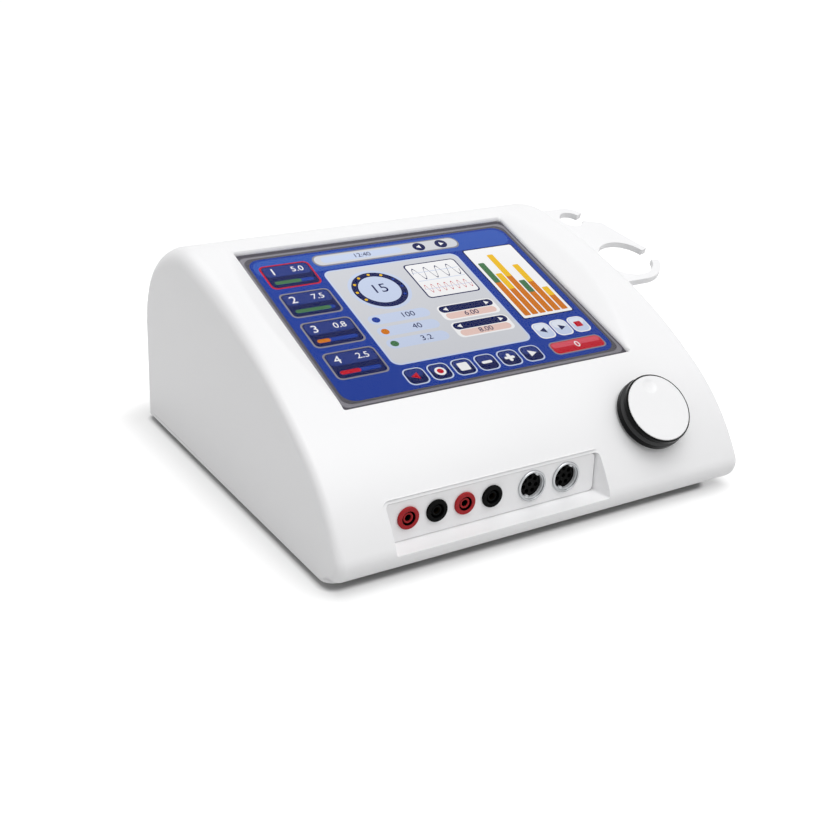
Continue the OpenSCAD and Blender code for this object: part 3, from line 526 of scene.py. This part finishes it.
def into_bay(p):
    """The bay's walls run straight back, but for the right one, which closes in a little"""
    narrowed = (bay_back_right - bay_left) / (bay_right - bay_left)
    return Vector((bay_left + (p.x - bay_left) * narrowed, bay_back, p.z))


def into_screen(p):
    """The screen's upper and right walls slope in, and the lower and left ones stand upright"""
    across = (p.x - screen_left) / (screen_right - screen_left)
    up = (Vector((p.y, p.z)) - screen_mid).dot(deck_along) - screen_low
    down = -deck_wall * deck_off - deck_splay * up / (screen_high - screen_low) * deck_along
    return p + Vector((-deck_splay * across, down.x, down.y))


def into_rear(p):
    """The walls round the rear panel run straight in"""
    return p - Vector((0, rear_depth, 0))


# Each window is its last column, its rows, its lower and upper corners' radii, its rim's, and its wall
windows = (
    (bay_column, bay_rows, (1.2, 2.6), 0.28, into_bay),
    (right_column, deck_rows, (1.5, 1.5), 0.3, into_screen),
    (right_column, rear_rows, (5.0, 5.0), 0.6, into_rear),
)
for last, edge_rows, radii, rim_r, move in windows:
    low, high = edge_rows[0] + 1, edge_rows[1] + 1
    border = open_window(left_column, last, low, high)
    corners = [(i, j) for j in (low, high) for i in (left_column, last)]
    wall_in(border, corners, move, [radii[0], radii[0], radii[1], radii[1]])
    bmesh.ops.bevel(skin, geom=creased(skin, rim_angle), offset=rim_r, offset_type="OFFSET", segments=5,
                    profile=0.5, affect="EDGES", material=-1)
skin.transform(to_row)
housing = piece(skin, "housing", "device", [white_plastic], ("upper_housing",),
                weighted=False)
shell = housing.modifiers.new("wall", "SOLIDIFY")
shell.thickness = wall_t * mm
shell.offset = -1
evened = housing.modifiers.new("even_normals", "WEIGHTED_NORMAL")
evened.keep_sharp = True

# The base tray: a flat white moulding that closes the housing from below, with a rim inside its walls.
# It shows as a thin lip under the sides, and four screws hold it to the housing's posts.


def softened(node, radius, segments=2):
    """A copy of a node's solid with its hard edges taken off, as a mould or a drum leaves them"""
    bm = bmesh.new()
    bm.from_mesh(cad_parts[node].data)
    bmesh.ops.remove_doubles(bm, verts=bm.verts, dist=0.005 * mm)
    bmesh.ops.dissolve_limit(bm, angle_limit=radians(1), verts=bm.verts, edges=bm.edges)
    bmesh.ops.bevel(bm, geom=creased(bm, crease_angle), offset=radius * mm, offset_type="OFFSET",
                    segments=segments, profile=0.5, affect="EDGES", material=-1, clamp_overlap=True)
    return bm


def paint(material, *names):
    """Gives nodes that keep their own solids a finish"""
    for name in names:
        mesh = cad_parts[name].data
        mesh.materials.clear()
        mesh.materials.append(material)


screw_steel = finish("screw_steel", "b8babd", 0.30, 2600, 0.00001, metallic=1.0)
piece(softened("base_tray", 0.5), "tray", "device", [white_plastic], ("base_tray",))
paint(screw_steel, "housing_screws")

# The feet: four black rubber buttons, moulded with a countersunk hole and screwed up into the tray.
# The rubber is dull and slightly dusty, with a rounded rim where it meets the table.
foot_rubber = finish("foot_rubber", "2b2b2d", 0.82, 1800, 0.00003)
piece(softened("rubber_feet", 0.35), "feet", "device", [foot_rubber], ("rubber_feet",))
paint(screw_steel, "foot_screws")

# The display: a touch glass on a foam gasket, pressed up against the deck by a lit panel.
# A pierced steel frame carries the panel, screwed to four bosses under the deck.
foam_grey = finish("foam_grey", "cfd0d2", 0.95, 900, 0.0001)
frame_steel = finish("frame_steel", "a4a6a8", 0.42, 700, 0.00002, metallic=1.0)
paint(frame_steel, "display_frame")
paint(screw_steel, "display_screws")

screen_x = -3.0
deck_tilt = atan2(deck_along.y, deck_along.x)
to_deck = (to_row @ Matrix.Translation((screen_x, screen_mid.x, screen_mid.y))
           @ Matrix.Rotation(deck_tilt, 4, "X"))
gasket_low, gasket_t, gasket_lap = -3.2, 0.74, 0.4
gasket_half_w, gasket_half_h = 113.6, 87.2
gasket = bmesh.new()
bmesh.ops.create_grid(gasket, x_segments=3, y_segments=3, size=1.5)
gasket_x = (-gasket_half_w, screen_left - screen_x - gasket_lap,
            screen_right - screen_x + gasket_lap, gasket_half_w)
gasket_y = (-gasket_half_h, screen_low - gasket_lap, screen_high + gasket_lap, gasket_half_h)
for v in gasket.verts:
    v.co = Vector((gasket_x[round(v.co.x + 1.5)], gasket_y[round(v.co.y + 1.5)], gasket_low))
middle = min(gasket.faces, key=lambda f: f.calc_center_median().length)
bmesh.ops.delete(gasket, geom=[middle], context="FACES_ONLY")
bmesh.ops.solidify(gasket, geom=gasket.faces, thickness=-gasket_t)
bmesh.ops.recalc_face_normals(gasket, faces=gasket.faces)
gasket.transform(to_deck)
piece(gasket, "foam_frame", "device", [foam_grey], ("display_gasket",))

touch_clear = bpy.data.materials.new("touch_clear")
touch_clear.use_nodes = True
touch_shader = touch_clear.node_tree.nodes["Principled BSDF"]
touch_skin = touch_clear.node_tree.nodes.new("ShaderNodeGroup")
touch_skin.node_tree = surface_group
touch_skin.inputs["Colour"].default_value = (0.98, 0.98, 0.98, 1)
touch_skin.inputs["Roughness"].default_value = 0.012
touch_skin.inputs["Spread"].default_value = 0.01
touch_skin.inputs["Scale"].default_value = 60
touch_clear.node_tree.links.new(touch_skin.outputs["Colour"], touch_shader.inputs["Base Color"])
touch_clear.node_tree.links.new(touch_skin.outputs["Roughness"], touch_shader.inputs["Roughness"])
touch_shader.inputs["Transmission Weight"].default_value = 1.0
touch_shader.inputs["IOR"].default_value = 1.12
paint(touch_clear, "touch_glass")

# The lit panel: a shallow metal can with the picture on its face, built here of thin tiles in layers.
# The picture is a plain control page: numbered tiles, a gauge, bars, two waves and rows of keys.
picture_half = 0.08


def lit_ink():
    """The even rise of a lit panel's brightness to the back of its face, and its fine rows of dots"""
    group = bpy.data.node_groups.new("lit_ink", "ShaderNodeTree")
    group.interface.new_socket("Colour", in_out="INPUT", socket_type="NodeSocketColor")
    group.interface.new_socket("Colour", in_out="OUTPUT", socket_type="NodeSocketColor")
    made = group.nodes
    link = group.links.new
    given = made.new("NodeGroupInput")
    put = made.new("NodeGroupOutput")
    where = made.new("ShaderNodeTexCoord")
    apart = made.new("ShaderNodeSeparateXYZ")
    link(where.outputs["Object"], apart.inputs[0])
    rise = made.new("ShaderNodeMapRange")
    rise.inputs["From Min"].default_value = -picture_half
    rise.inputs["From Max"].default_value = picture_half
    rise.inputs["To Min"].default_value = 0.86
    rise.inputs["To Max"].default_value = 1.08
    link(apart.outputs["Y"], rise.inputs["Value"])
    dots = made.new("ShaderNodeTexWave")
    dots.inputs["Scale"].default_value = 900
    dots.inputs["Distortion"].default_value = 0.4
    link(where.outputs["Object"], dots.inputs["Vector"])
    weave = made.new("ShaderNodeMapRange")
    weave.inputs["To Min"].default_value = 0.97
    weave.inputs["To Max"].default_value = 1.03
    link(dots.outputs["Fac"], weave.inputs["Value"])
    both = made.new("ShaderNodeMath")
    both.operation = "MULTIPLY"
    link(rise.outputs["Result"], both.inputs[0])
    link(weave.outputs["Result"], both.inputs[1])
    tint = made.new("ShaderNodeVectorMath")
    tint.operation = "SCALE"
    link(given.outputs["Colour"], tint.inputs[0])
    link(both.outputs[0], tint.inputs["Scale"])
    link(tint.outputs[0], put.inputs["Colour"])
    return group


lit_group = lit_ink()
inks = {}
picture_materials = []


def ink(code):
    """The number of a picture colour's material slot, which is made when it is first used"""
    if code not in inks:
        lit = bpy.data.materials.new("lit_" + code)
        lit.use_nodes = True
        tree = lit.node_tree
        shader = tree.nodes["Principled BSDF"]
        glow = tree.nodes.new("ShaderNodeGroup")
        glow.node_tree = lit_group
        glow.inputs["Colour"].default_value = linear(code)
        tree.links.new(glow.outputs[0], shader.inputs["Emission Color"])
        shader.inputs["Emission Strength"].default_value = 0.95
        shader.inputs["Base Color"].default_value = (0, 0, 0, 1)
        shader.inputs["Roughness"].default_value = 0.9
        shader.inputs["Specular IOR Level"].default_value = 0
        inks[code] = len(picture_materials)
        picture_materials.append(lit)
    return inks[code]


picture = bmesh.new()
layer, layers, tile_t = 0.08, 9, 0.07
picture_top = -5.05
picture_base = picture_top - layers * layer


def stamp(bm, level, code):
    """Sets a flat shape on its layer of the picture, as a thin tile in its colour"""
    bmesh.ops.remove_doubles(bm, verts=bm.verts, dist=0.0005)
    bmesh.ops.solidify(bm, geom=bm.faces, thickness=tile_t)
    bmesh.ops.recalc_face_normals(bm, faces=bm.faces)
    for f in bm.faces:
        f.material_index = ink(code)
    bmesh.ops.translate(bm, verts=bm.verts, vec=(0, 0, picture_base + level * layer))
    flat = bpy.data.meshes.new("flat")
    bm.to_mesh(flat)
    bm.free()
    picture.from_mesh(flat)
    bpy.data.meshes.remove(flat)


def field(x, y, w, h, r, level, code):
    """A rectangle with round corners, by its lower left corner"""
    bm = bmesh.new()
    bmesh.ops.create_grid(bm, x_segments=1, y_segments=1, size=0.5)
    for v in bm.verts:
        v.co = Vector((x + (v.co.x + 0.5) * w, y + (v.co.y + 0.5) * h, 0))
    if r > 0:
        bmesh.ops.bevel(bm, geom=bm.verts, offset=r, offset_type="OFFSET", segments=6, profile=0.5,
                        affect="VERTICES", material=-1)
    stamp(bm, level, code)


def disc(x, y, r, level, code, corners=40, turn=0):
    """A disc, or with three corners an arrow head"""
    bm = bmesh.new()
    place = Matrix.Translation((x, y, 0)) @ Matrix.Rotation(radians(turn), 4, "Z")
    bmesh.ops.create_circle(bm, cap_ends=True, radius=r, segments=corners, matrix=place)
    stamp(bm, level, code)


def figures(text, x, y, size, level, code):
    """Plain numbers, centred on a point"""
    curve = bpy.data.curves.new("figures", "FONT")
    curve.body = text
    curve.size = size
    curve.align_x = "CENTER"
    curve.align_y = "CENTER"
    written = bpy.data.objects.new("figures", curve)
    flat = bpy.data.meshes.new_from_object(written)
    bm = bmesh.new()
    bm.from_mesh(flat)
    bmesh.ops.translate(bm, verts=bm.verts, vec=(x, y, 0))
    stamp(bm, level, code)
    bpy.data.meshes.remove(flat)
    bpy.data.objects.remove(written)
    bpy.data.curves.remove(curve)


def wave(x, y, w, rise, turns, line, level, code):
    """A sine line of a given width, from its left end"""
    bm = bmesh.new()
    steps = 24 * turns
    bmesh.ops.create_grid(bm, x_segments=steps, y_segments=1, size=0.5)
    for v in bm.verts:
        phase = v.co.x + 0.5
        v.co = Vector((x + phase * w, y + v.co.y * line + rise * sin(2 * pi * turns * phase), 0))
    stamp(bm, level, code)


blue, navy, pale, grey = "1f3f9f", "121c55", "cdd9f2", "d6d8de"
navy_sheen, pale_sheen, red_sheen, blue_sheen = "2c3c84", "e9effb", "dd5666", "3459b4"
pink, orange, yellow, green, red = "eecdc4", "d67814", "f5c31e", "46784f", "c8192d"
rim_grey, rim_light, white = "5c5a61", "8f8d94", "fbfbfc"
to_left, to_right = 90, -90

# The rim, the page and the bar at its top
field(-111, -86.4, 218, 168.6, 0, 0, rim_grey)
field(-104.4, -78, 208.8, 156, 5, 1, rim_light)
field(-102.4, -76, 204.8, 152, 7, 2, rim_grey)
field(-100.4, -74, 200.8, 148, 9, 3, blue)
field(-98.4, 53, 196.8, 19, 8, 4, blue_sheen)
field(-56, 57, 114, 13, 6, 5, rim_light)
field(-54.8, 58.2, 111.6, 10.6, 5, 6, grey)
field(-50, 60.2, 62, 6.6, 3.2, 7, pale)
header_y = 63.5
figures("12:40", -19, header_y, 6, 8, navy)
for x, turn in ((26, to_left), (44, to_right)):
    disc(x, header_y, 4.6, 7, navy)
    disc(x, header_y, 2.2, 8, white, 3, turn)

# Four numbered tiles down the left, each with a value and a level
tiles = (
    ("5.0", 19, green, red),
    ("7.5", 25, green, rim_light),
    ("0.8", 9, orange, rim_light),
    ("2.5", 14, red, rim_light),
)
tile_w, tile_h, tile_y, tile_step = 36, 26, 40, 31.5
for i, (value, level_w, level_code, edge) in enumerate(tiles):
    y = tile_y - i * tile_step
    field(-95.5, y, tile_w, tile_h, 4, 5, edge)
    field(-94.3, y + 1.2, tile_w - 2.4, tile_h - 2.4, 3.2, 6, navy)
    field(-93.5, y + 13, tile_w - 4, tile_h - 15, 2.6, 7, navy_sheen)
    figures(str(i + 1), -87.5, y + 18, 10, 8, white)
    figures(value, -70, y + 18.5, 7.5, 8, white)
    field(-91.5, y + 4.5, 28, 3.4, 1.7, 7, blue)
    field(-91.5, y + 4.5, level_w, 3.4, 1.7, 8, level_code)

# The grey page in the middle: a round gauge, two waves, three readings and two settings
field(-55.6, -51, 104, 102.4, 6, 4, pale)
field(-54.4, -49.8, 101.6, 100, 5, 5, grey)
gauge_x, gauge_y, mark_circle, mark_step = -26, 24, 16.8, 30
disc(gauge_x, gauge_y, 21.5, 6, pale)
disc(gauge_x, gauge_y, 19, 7, navy)
disc(gauge_x, gauge_y, 14.5, 8, pale)
figures("15", gauge_x, gauge_y + 0.5, 13, 9, navy)
for i in range(9):
    swing = radians((i - 1) * mark_step)
    mark_x, mark_y = gauge_x + mark_circle * cos(swing), gauge_y + mark_circle * sin(swing)
    disc(mark_x, mark_y, 1.1, 8, yellow if i > 2 else blue)
field(2.4, 6.6, 41, 38.8, 3, 6, navy)
field(3.4, 7.6, 39, 36.8, 2.4, 7, white)
for i in range(3):
    field(4.6, 16 + 9.4 * i, 36.6, 0.5, 0, 8, pale)
wave(5, 33.5, 36, 6.2, 4, 1.1, 8, navy)
wave(5, 16.5, 36, 4.2, 7, 0.9, 8, red)
reading_y, reading_step = -10.4, 12.6
for i, (value, code) in enumerate((("100", blue), ("40", orange), ("3.2", green))):
    y = reading_y - reading_step * i
    field(-50, y, 45, 9.4, 4.6, 6, pale)
    disc(-44.6, y + 4.7, 2.8, 7, code)
    figures(value, -21, y + 5, 7, 7, navy)
setting_y, setting_step = -14, 18.5
for i, value in enumerate(("6.00", "8.00")):
    y = setting_y - setting_step * i
    field(1, y - 4.6, 43.4, 16, 4, 6, white)
    field(2, y + 3.6, 41.4, 6.8, 3.3, 7, navy)
    disc(7, y + 7, 2.2, 8, white, 3, to_left)
    disc(38.4, y + 7, 2.2, 8, white, 3, to_right)
    field(3.4, y - 3.4, 38.6, 6.2, 3, 7, pink)
    figures(value, 22.7, y - 0.2, 6.4, 8, navy)

# A bar chart at the right
field(54.4, -30.4, 42, 82.8, 2, 4, navy)
field(55.4, -29.4, 40, 80.8, 1.4, 5, white)
bars = (62, 48, 70, 37, 55, 26)
bar_x, bar_foot, bar_w, bar_step, bar_split = 57.6, -27, 4.9, 6.1, 0.62
for i, height in enumerate(bars):
    x = bar_x + bar_step * i
    field(x, bar_foot, bar_w, height, 0.8, 6, orange)
    tip = height * (1 - bar_split)
    field(x, bar_foot + height * bar_split, bar_w, tip, 0.8, 7, yellow if i % 3 else green)

# Six dark keys along the bottom, and three light ones and a red one under the chart
key_x, key_y, key_step = -54.6, -71, 17.2
for i in range(6):
    x = key_x + key_step * i
    field(x, key_y, 15, 15.6, 4.4, 4, pale)
    field(x + 0.9, key_y + 0.9, 13.2, 13.8, 3.8, 5, navy)
    field(x + 1.6, key_y + 7.4, 11.8, 6.6, 3.2, 6, navy_sheen)
sign_y = -63.2
disc(-47.1, sign_y, 3.6, 7, red, 3, to_left)
disc(-29.9, sign_y, 3.8, 7, white)
disc(-29.9, sign_y, 2.2, 8, red)
field(-16.4, sign_y - 3.6, 7.4, 7.4, 1, 7, white)
field(0.8, sign_y - 1.2, 7.4, 2.4, 1, 7, white)
field(18, sign_y - 1.2, 7.4, 2.4, 1, 7, white)
field(20.5, sign_y - 3.7, 2.4, 7.4, 1, 8, white)
disc(38.9, sign_y, 3.6, 7, white, 3, to_right)
light_x, light_y, light_step = 54.4, -52.6, 14.4
for i in range(3):
    x = light_x + light_step * i
    field(x, light_y, 13.2, 16.4, 4.4, 4, white)
    field(x + 0.8, light_y + 0.8, 11.6, 14.8, 3.8, 5, pale)
    field(x + 1.5, light_y + 8, 10.2, 7, 3.2, 6, pale_sheen)
disc(61, -44.4, 3.2, 7, navy, 3, to_left)
disc(75.4, -44.4, 3.2, 7, navy, 3, to_right)
field(86.7, -47, 5.4, 5.4, 0.6, 7, red)
field(54.4, -70, 42, 13, 4, 4, rim_light)
field(55.4, -69, 40, 11, 3.4, 5, red)
field(56.2, -63.4, 38.4, 4.8, 2.3, 6, red_sheen)
figures("0", 75.4, -63.3, 8, 7, white)

# The can behind the picture
panel_metal = finish("panel_metal", "8b8d90", 0.45, 600, 0.00002, metallic=1.0)
can_w, can_h, can_depth, can_edge_r = 219, 169.4, 5.2, 0.6
can_mid = Vector((-2, -2.1, picture_base - can_depth / 2 - layer))
can = bmesh.new()
bmesh.ops.create_cube(can, size=1)
bmesh.ops.scale(can, vec=(can_w, can_h, can_depth), verts=can.verts)
bmesh.ops.translate(can, vec=can_mid, verts=can.verts)
bmesh.ops.bevel(can, geom=can.edges, offset=can_edge_r, offset_type="OFFSET", segments=2, profile=0.5,
                affect="EDGES", material=-1)
for f in can.faces:
    f.material_index = len(picture_materials)
picture_materials.append(panel_metal)
can_mesh = bpy.data.meshes.new("can")
can.to_mesh(can_mesh)
can.free()
picture.from_mesh(can_mesh)
bpy.data.meshes.remove(can_mesh)
picture.transform(to_deck)
piece(picture, "lit_panel", "device", picture_materials, ("lcd_panel",), weighted=False)

# The dial: a black waisted knob, moulded glossy, with a white cap let into its top and a painted
# highlight round its waist.
# It is pressed on the shaft of an encoder, which a nut on its bushing holds under the housing's pad.


def turned(profile, steps):
    """A half profile of [radius, height] points, spun right round the height's axis"""
    bm = bmesh.new()
    points = [bm.verts.new((r, 0, z)) for r, z in profile]
    edges = [bm.edges.new(pair) for pair in zip(points, points[1:])]
    bmesh.ops.spin(bm, geom=points + edges, cent=(0, 0, 0), axis=(0, 0, 1), angle=2 * pi, steps=steps,
                   use_merge=True)
    bmesh.ops.remove_doubles(bm, verts=bm.verts, dist=0.001)
    bmesh.ops.recalc_face_normals(bm, faces=bm.faces)
    return bm


turned_crease = 20


def eased(bm, radius):
    """Rounds the creased edges of a turned shape"""
    bmesh.ops.bevel(bm, geom=creased(bm, turned_crease), offset=radius, offset_type="OFFSET", segments=3,
                    profile=0.5, affect="EDGES", material=-1, clamp_overlap=True)
    bmesh.ops.remove_doubles(bm, verts=bm.verts, dist=0.002)
    return bm


dial_black = finish("dial_black", "030304", 0.22, 1400, 0.000008, specular=0.08)
dial_painted_highlight = finish("dial_painted_highlight", "18181a", 0.3, 1400, 0.000008, specular=0.4)
dial_white = finish("dial_white", "f6f6f7", 0.34, 1500, 0.00001)
dial_foot = Vector((85.6, -123.9, 55.27))
dial_slope = asin((front_c.x - dial_foot.y) / front_r)
to_dial = to_row @ Matrix.Translation(dial_foot) @ Matrix.Rotation(dial_slope, 4, "X")
seat_r, seat_z, ring_r, waist_r, base_r, hollow_r = 21.95, 10.8, 22.9, 21.9, 23.6, 9
waist_low, waist_high = 7.2, 8.2
dial_body = turned([(0, seat_z), (seat_r, seat_z), (seat_r, 12.9), (22.3, 12.9), (ring_r, 12.2),
                    (ring_r, 9.2), (waist_r, waist_high), (waist_r, waist_low), (base_r, 5.9),
                    (base_r, 2.0), (22.2, 0.5), (hollow_r, 0.5), (hollow_r, 4.0), (0, 4.0)], 96)
eased(dial_body, 0.4)
# The waist's faces get a lighter, glossier copy of the black: its gloss is real, its lighter colour a
# painted highlight
painted_highlight_low, painted_highlight_flat = 6.3, 0.9
for f in dial_body.faces:
    in_waist = painted_highlight_low < f.calc_center_median().z < waist_high
    f.material_index = 1 if in_waist and abs(f.normal.z) < painted_highlight_flat else 0
dial_body.transform(to_dial)
piece(dial_body, "dial_knob", "dial", [dial_black, dial_painted_highlight], ("dial_body",))

cap_r, cap_top, cap_low, cap_edge = 21.9, 13.0, 10.85, 0.4
cap_rings = 44
cap_flat = [((cap_r - cap_edge) * (1 - i / cap_rings), cap_top) for i in range(cap_rings + 1)]
dial_cap = turned([(0, cap_low), (cap_r, cap_low), (cap_r, cap_top - cap_edge)] + cap_flat, 128)
dimple_mid = Vector((0, 14.89, cap_top))
dimple_r, dimple_d = 5.4, 0.8
for v in dial_cap.verts:
    if v.co.z > cap_top - cap_edge / 2:
        near = max(0.0, 1 - ((v.co - dimple_mid).length / dimple_r) ** 2)
        v.co.z -= dimple_d * near * near * (3 - 2 * near)
dial_cap.transform(to_dial)
piece(dial_cap, "dial_cap_disc", "dial", [dial_white], ("dial_cap",), weighted=False)
encoder_dark = finish("encoder_dark", "23262a", 0.5, 900, 0.00002)
paint(screw_steel, "dial_shaft", "encoder_nut")
paint(encoder_dark, "encoder_body")

# The socket panel: a white plate at the back of the bay, drilled for the sockets, screwed from behind.
# It stands a hair clear of the bay's walls, so that a thin dark line runs round it.
piece(softened("socket_panel", 0.25), "bay_panel", "device", [white_plastic],
      ("socket_panel",))
paint(screw_steel, "socket_panel_screws", "socket_nuts", "connector_nuts")

# The lead sockets: shrouded 4 mm sockets of red and of black plastic, turned smooth.
# Each has a collar, a deep ring groove for the plug's shroud, and a sleeve round a brass contact.
socket_red = finish("socket_red", "9e1c22", 0.45, 1600, 0.00001, specular=0.2)
# This black is the black sockets' plastic, and the painted shade in the red sockets' grooves
socket_black = finish("socket_black", "060707", 0.45, 1600, 0.00001, specular=0.05)
# The contacts' brass is painted nearly black, as shade deep in the sockets' bores
contact_brass = finish("contact_brass", "2a2317", 0.5, 2000, 0.00001, metallic=1.0)
bay_y, socket_z = -133.1, 32.7
red_x, black_x = (-95.2, -57.2), (-76.2, -38.2)
socket_tail, socket_r, collar_r, collar_low, collar_top = -24, 5.35, 7, 0.05, 1.6
groove_floor, groove_r, sleeve_r, sleeve_top = -12.4, 4.35, 3.3, 0.6
bore_r, lip_r, lip_low = 2.65, 2.1, -0.3
groove_shade_top, paint_lap = 0.2, 0.1


def gathered(shapes):
    """Several finished shapes as one mesh, each moved to its own place"""
    whole = bmesh.new()
    for bm, place in shapes:
        bm.transform(place)
        part = bpy.data.meshes.new("part")
        bm.to_mesh(part)
        bm.free()
        whole.from_mesh(part)
        bpy.data.meshes.remove(part)
    return whole


def in_bay(x):
    """A place on the panel's face, where heights point out of the bay"""
    return to_row @ Matrix.Translation((x, bay_y, socket_z)) @ Matrix.Rotation(pi / 2, 4, "X")


def from_axis(f):
    """How far a face's middle lies from the axis that its shape is turned on"""
    middle = f.calc_center_median()
    return Vector((middle.x, middle.y)).length


def lead_socket():
    """One socket, with the walls of its groove in the second material, black: on the red sockets this is
    painted shade down the deep groove
    """
    bm = turned([(bore_r, socket_tail), (socket_r, socket_tail), (socket_r, collar_low),
                 (collar_r, collar_low), (collar_r, 1.1), (6.6, collar_top), (groove_r, collar_top),
                 (groove_r, groove_floor), (sleeve_r, groove_floor), (sleeve_r, sleeve_top),
                 (lip_r, sleeve_top), (lip_r, lip_low), (bore_r, lip_low), (bore_r, socket_tail)], 64)
    eased(bm, 0.3)
    for f in bm.faces:
        in_groove = sleeve_r - paint_lap < from_axis(f) < groove_r + paint_lap
        f.material_index = 1 if in_groove and f.calc_center_median().z < groove_shade_top else 0
    return bm


def contact():
    """One contact: a pin with a blind hole for the plug"""
    pin_tail, pin_r, pin_top, hole_r, hole_floor = -30, 2.6, -0.4, 2.0, -22
    bm = turned([(0, pin_tail), (pin_r, pin_tail), (pin_r, pin_top), (hole_r, pin_top),
                 (hole_r, hole_floor), (0, hole_floor)], 40)
    return eased(bm, 0.12)


# The red sockets' grooves are painted black as shade
piece(gathered([(lead_socket(), in_bay(x)) for x in red_x]), "lead_sockets_red", "device",
      [socket_red, socket_black], ("red_sockets",))
piece(gathered([(lead_socket(), in_bay(x)) for x in black_x]), "lead_sockets_black", "device",
      [socket_black, socket_black], ("black_sockets",))
piece(gathered([(contact(), in_bay(x)) for x in red_x + black_x]), "lead_contacts", "device",
      [contact_brass], ("socket_contacts",))

# The round connectors: turned shells of satin nickel with a bevelled ring, nutted behind the panel.
# A black insert sits in each, with a ring of pole holes and notches where the shell's two keys run.
nickel = finish("nickel", "b4b6b8", 0.38, 2400, 0.00001, metallic=1.0)
barrel_silver = finish("barrel_silver", "d6d8da", 0.45, 2400, 0.00001, metallic=0.25)
insert_black = finish("insert_black", "060606", 0.5, 1500, 0.00002, specular=0.06)
connector_x = (-9.4, 15.6)
barrel_r, step_r, thread_r, flange_r, shell_tail, flange_low = 7.9, 8.5, 8.25, 9.9, -16, 0.05
key_turns = (radians(55), radians(250))
key_size, key_in, key_z = Vector((1.2, 2.4, 6.4)), 0.5, -4


def connector_shell():
    """One shell with two keys in its barrel, whose inside and keys have the second material"""
    bm = turned([(barrel_r, shell_tail), (thread_r, shell_tail), (thread_r, flange_low),
                 (flange_r, flange_low), (flange_r, 0.8), (9.4, 1.4), (8.8, 1.4), (step_r, 1.1),
                 (step_r, 0.1), (barrel_r, 0.1), (barrel_r, shell_tail)], 72)
    eased(bm, 0.15)
    for turn in key_turns:
        place = Matrix.Rotation(turn, 4, "Z") @ Matrix.Translation((barrel_r - key_in, 0, key_z))
        bmesh.ops.create_cube(bm, size=1, matrix=place @ Matrix.Diagonal(key_size).to_4x4())
    for f in bm.faces:
        f.material_index = 1 if from_axis(f) < barrel_r + paint_lap / 2 else 0
    return bm


def connector_insert():
    """One insert: a disc with a notch in its rim at each key, and eight pole holes"""
    face_z, tail_z, rim_r, notch_depth, notch_half = -2.0, -18, 7.75, 1.3, radians(13)
    pole_r, pole_circle, pole_depth, ring_poles = 1.4, 4.7, 5, 7
    rim_limit = (pole_circle + pole_r + rim_r - notch_depth) / 2
    bm = bmesh.new()
    rim = bmesh.ops.create_circle(bm, segments=120, radius=rim_r)["verts"]
    for v in rim:
        turn = atan2(v.co.y, v.co.x)
        if min(abs((turn - key + pi) % (2 * pi) - pi) for key in key_turns) < notch_half:
            v.co *= 1 - notch_depth / rim_r
    holes = [Matrix()]
    for i in range(ring_poles):
        swing = Matrix.Rotation(pi / 2 + i * 2 * pi / ring_poles, 4, "Z")
        holes.append(swing @ Matrix.Translation((pole_circle, 0, 0)))
    for place in holes:
        bmesh.ops.create_circle(bm, segments=24, radius=pole_r, matrix=place)
    bmesh.ops.triangle_fill(bm, edges=bm.edges, use_beauty=True, normal=(0, 0, 1))
    bmesh.ops.translate(bm, verts=bm.verts, vec=(0, 0, face_z))
    border = [e for e in bm.edges if len(e.link_faces) == 1]
    made = bmesh.ops.extrude_edge_only(bm, edges=border)["geom"]
    for v in made:
        if isinstance(v, bmesh.types.BMVert):
            on_rim = Vector((v.co.x, v.co.y)).length > rim_limit
            v.co.z = tail_z if on_rim else face_z - pole_depth
    ends = [e for e in bm.edges if len(e.link_faces) == 1]
    bmesh.ops.holes_fill(bm, edges=ends)
    bmesh.ops.recalc_face_normals(bm, faces=bm.faces)
    return bm


piece(gathered([(connector_shell(), in_bay(x)) for x in connector_x]), "round_shells", "device",
      [nickel, barrel_silver], ("connector_shells",))
piece(gathered([(connector_insert(), in_bay(x)) for x in connector_x]), "round_inserts", "device",
      [insert_black], ("connector_inserts",), weighted=False)

# The head holder: a flat white moulding on the right side, with a large and a small open ring.
# Its flange is screwed to the housing's wall from outside, with nuts within.
piece(softened("head_holder", 0.5, segments=3), "rest_plate", "device", [white_plastic],
      ("head_holder",))
paint(screw_steel, "holder_screws", "holder_nuts")

# The rear panel: folded sheet metal, painted light grey, let into the back with cooling slots.
# It carries the mains inlet and the power switch, and four screws hold it.
rear_grey = finish("rear_grey", "c3c5c8", 0.5, 1100, 0.00003)
inlet_black = finish("inlet_black", "1a1a1c", 0.45, 1300, 0.00002)
piece(softened("rear_panel", 0.25), "rear_plate", "device", [rear_grey], ("rear_panel",))
piece(softened("mains_inlet", 0.3), "inlet", "device", [inlet_black], ("mains_inlet",))
piece(softened("switch_frame", 0.25), "switch_bezel", "device", [inlet_black],
      ("switch_frame",))
piece(softened("switch_rocker", 0.3), "switch_paddle", "rocker", [inlet_black],
      ("switch_rocker",))
paint(screw_steel, "rear_panel_screws", "inlet_pins", "inlet_screws", "rocker_pin")

# The inside: green boards on spacers, with their transformers, heat sink and supply, and a speaker.
# None of it shows from outside, and each piece keeps its own solid.
board_green = finish("board_green", "1f5a34", 0.42, 500, 0.00005)
winding = finish("winding", "8a5a2c", 0.5, 1200, 0.0001)
core_dark = finish("core_dark", "34363a", 0.55, 900, 0.00004)
paint(board_green, "main_board", "stimulation_board", "ultrasound_board")
paint(core_dark, "processor_module", "power_supply", "speaker")
paint(winding, "output_transformers", "mains_transformer")
paint(frame_steel, "heat_sink", "board_spacers")
paint(screw_steel, "board_screws")
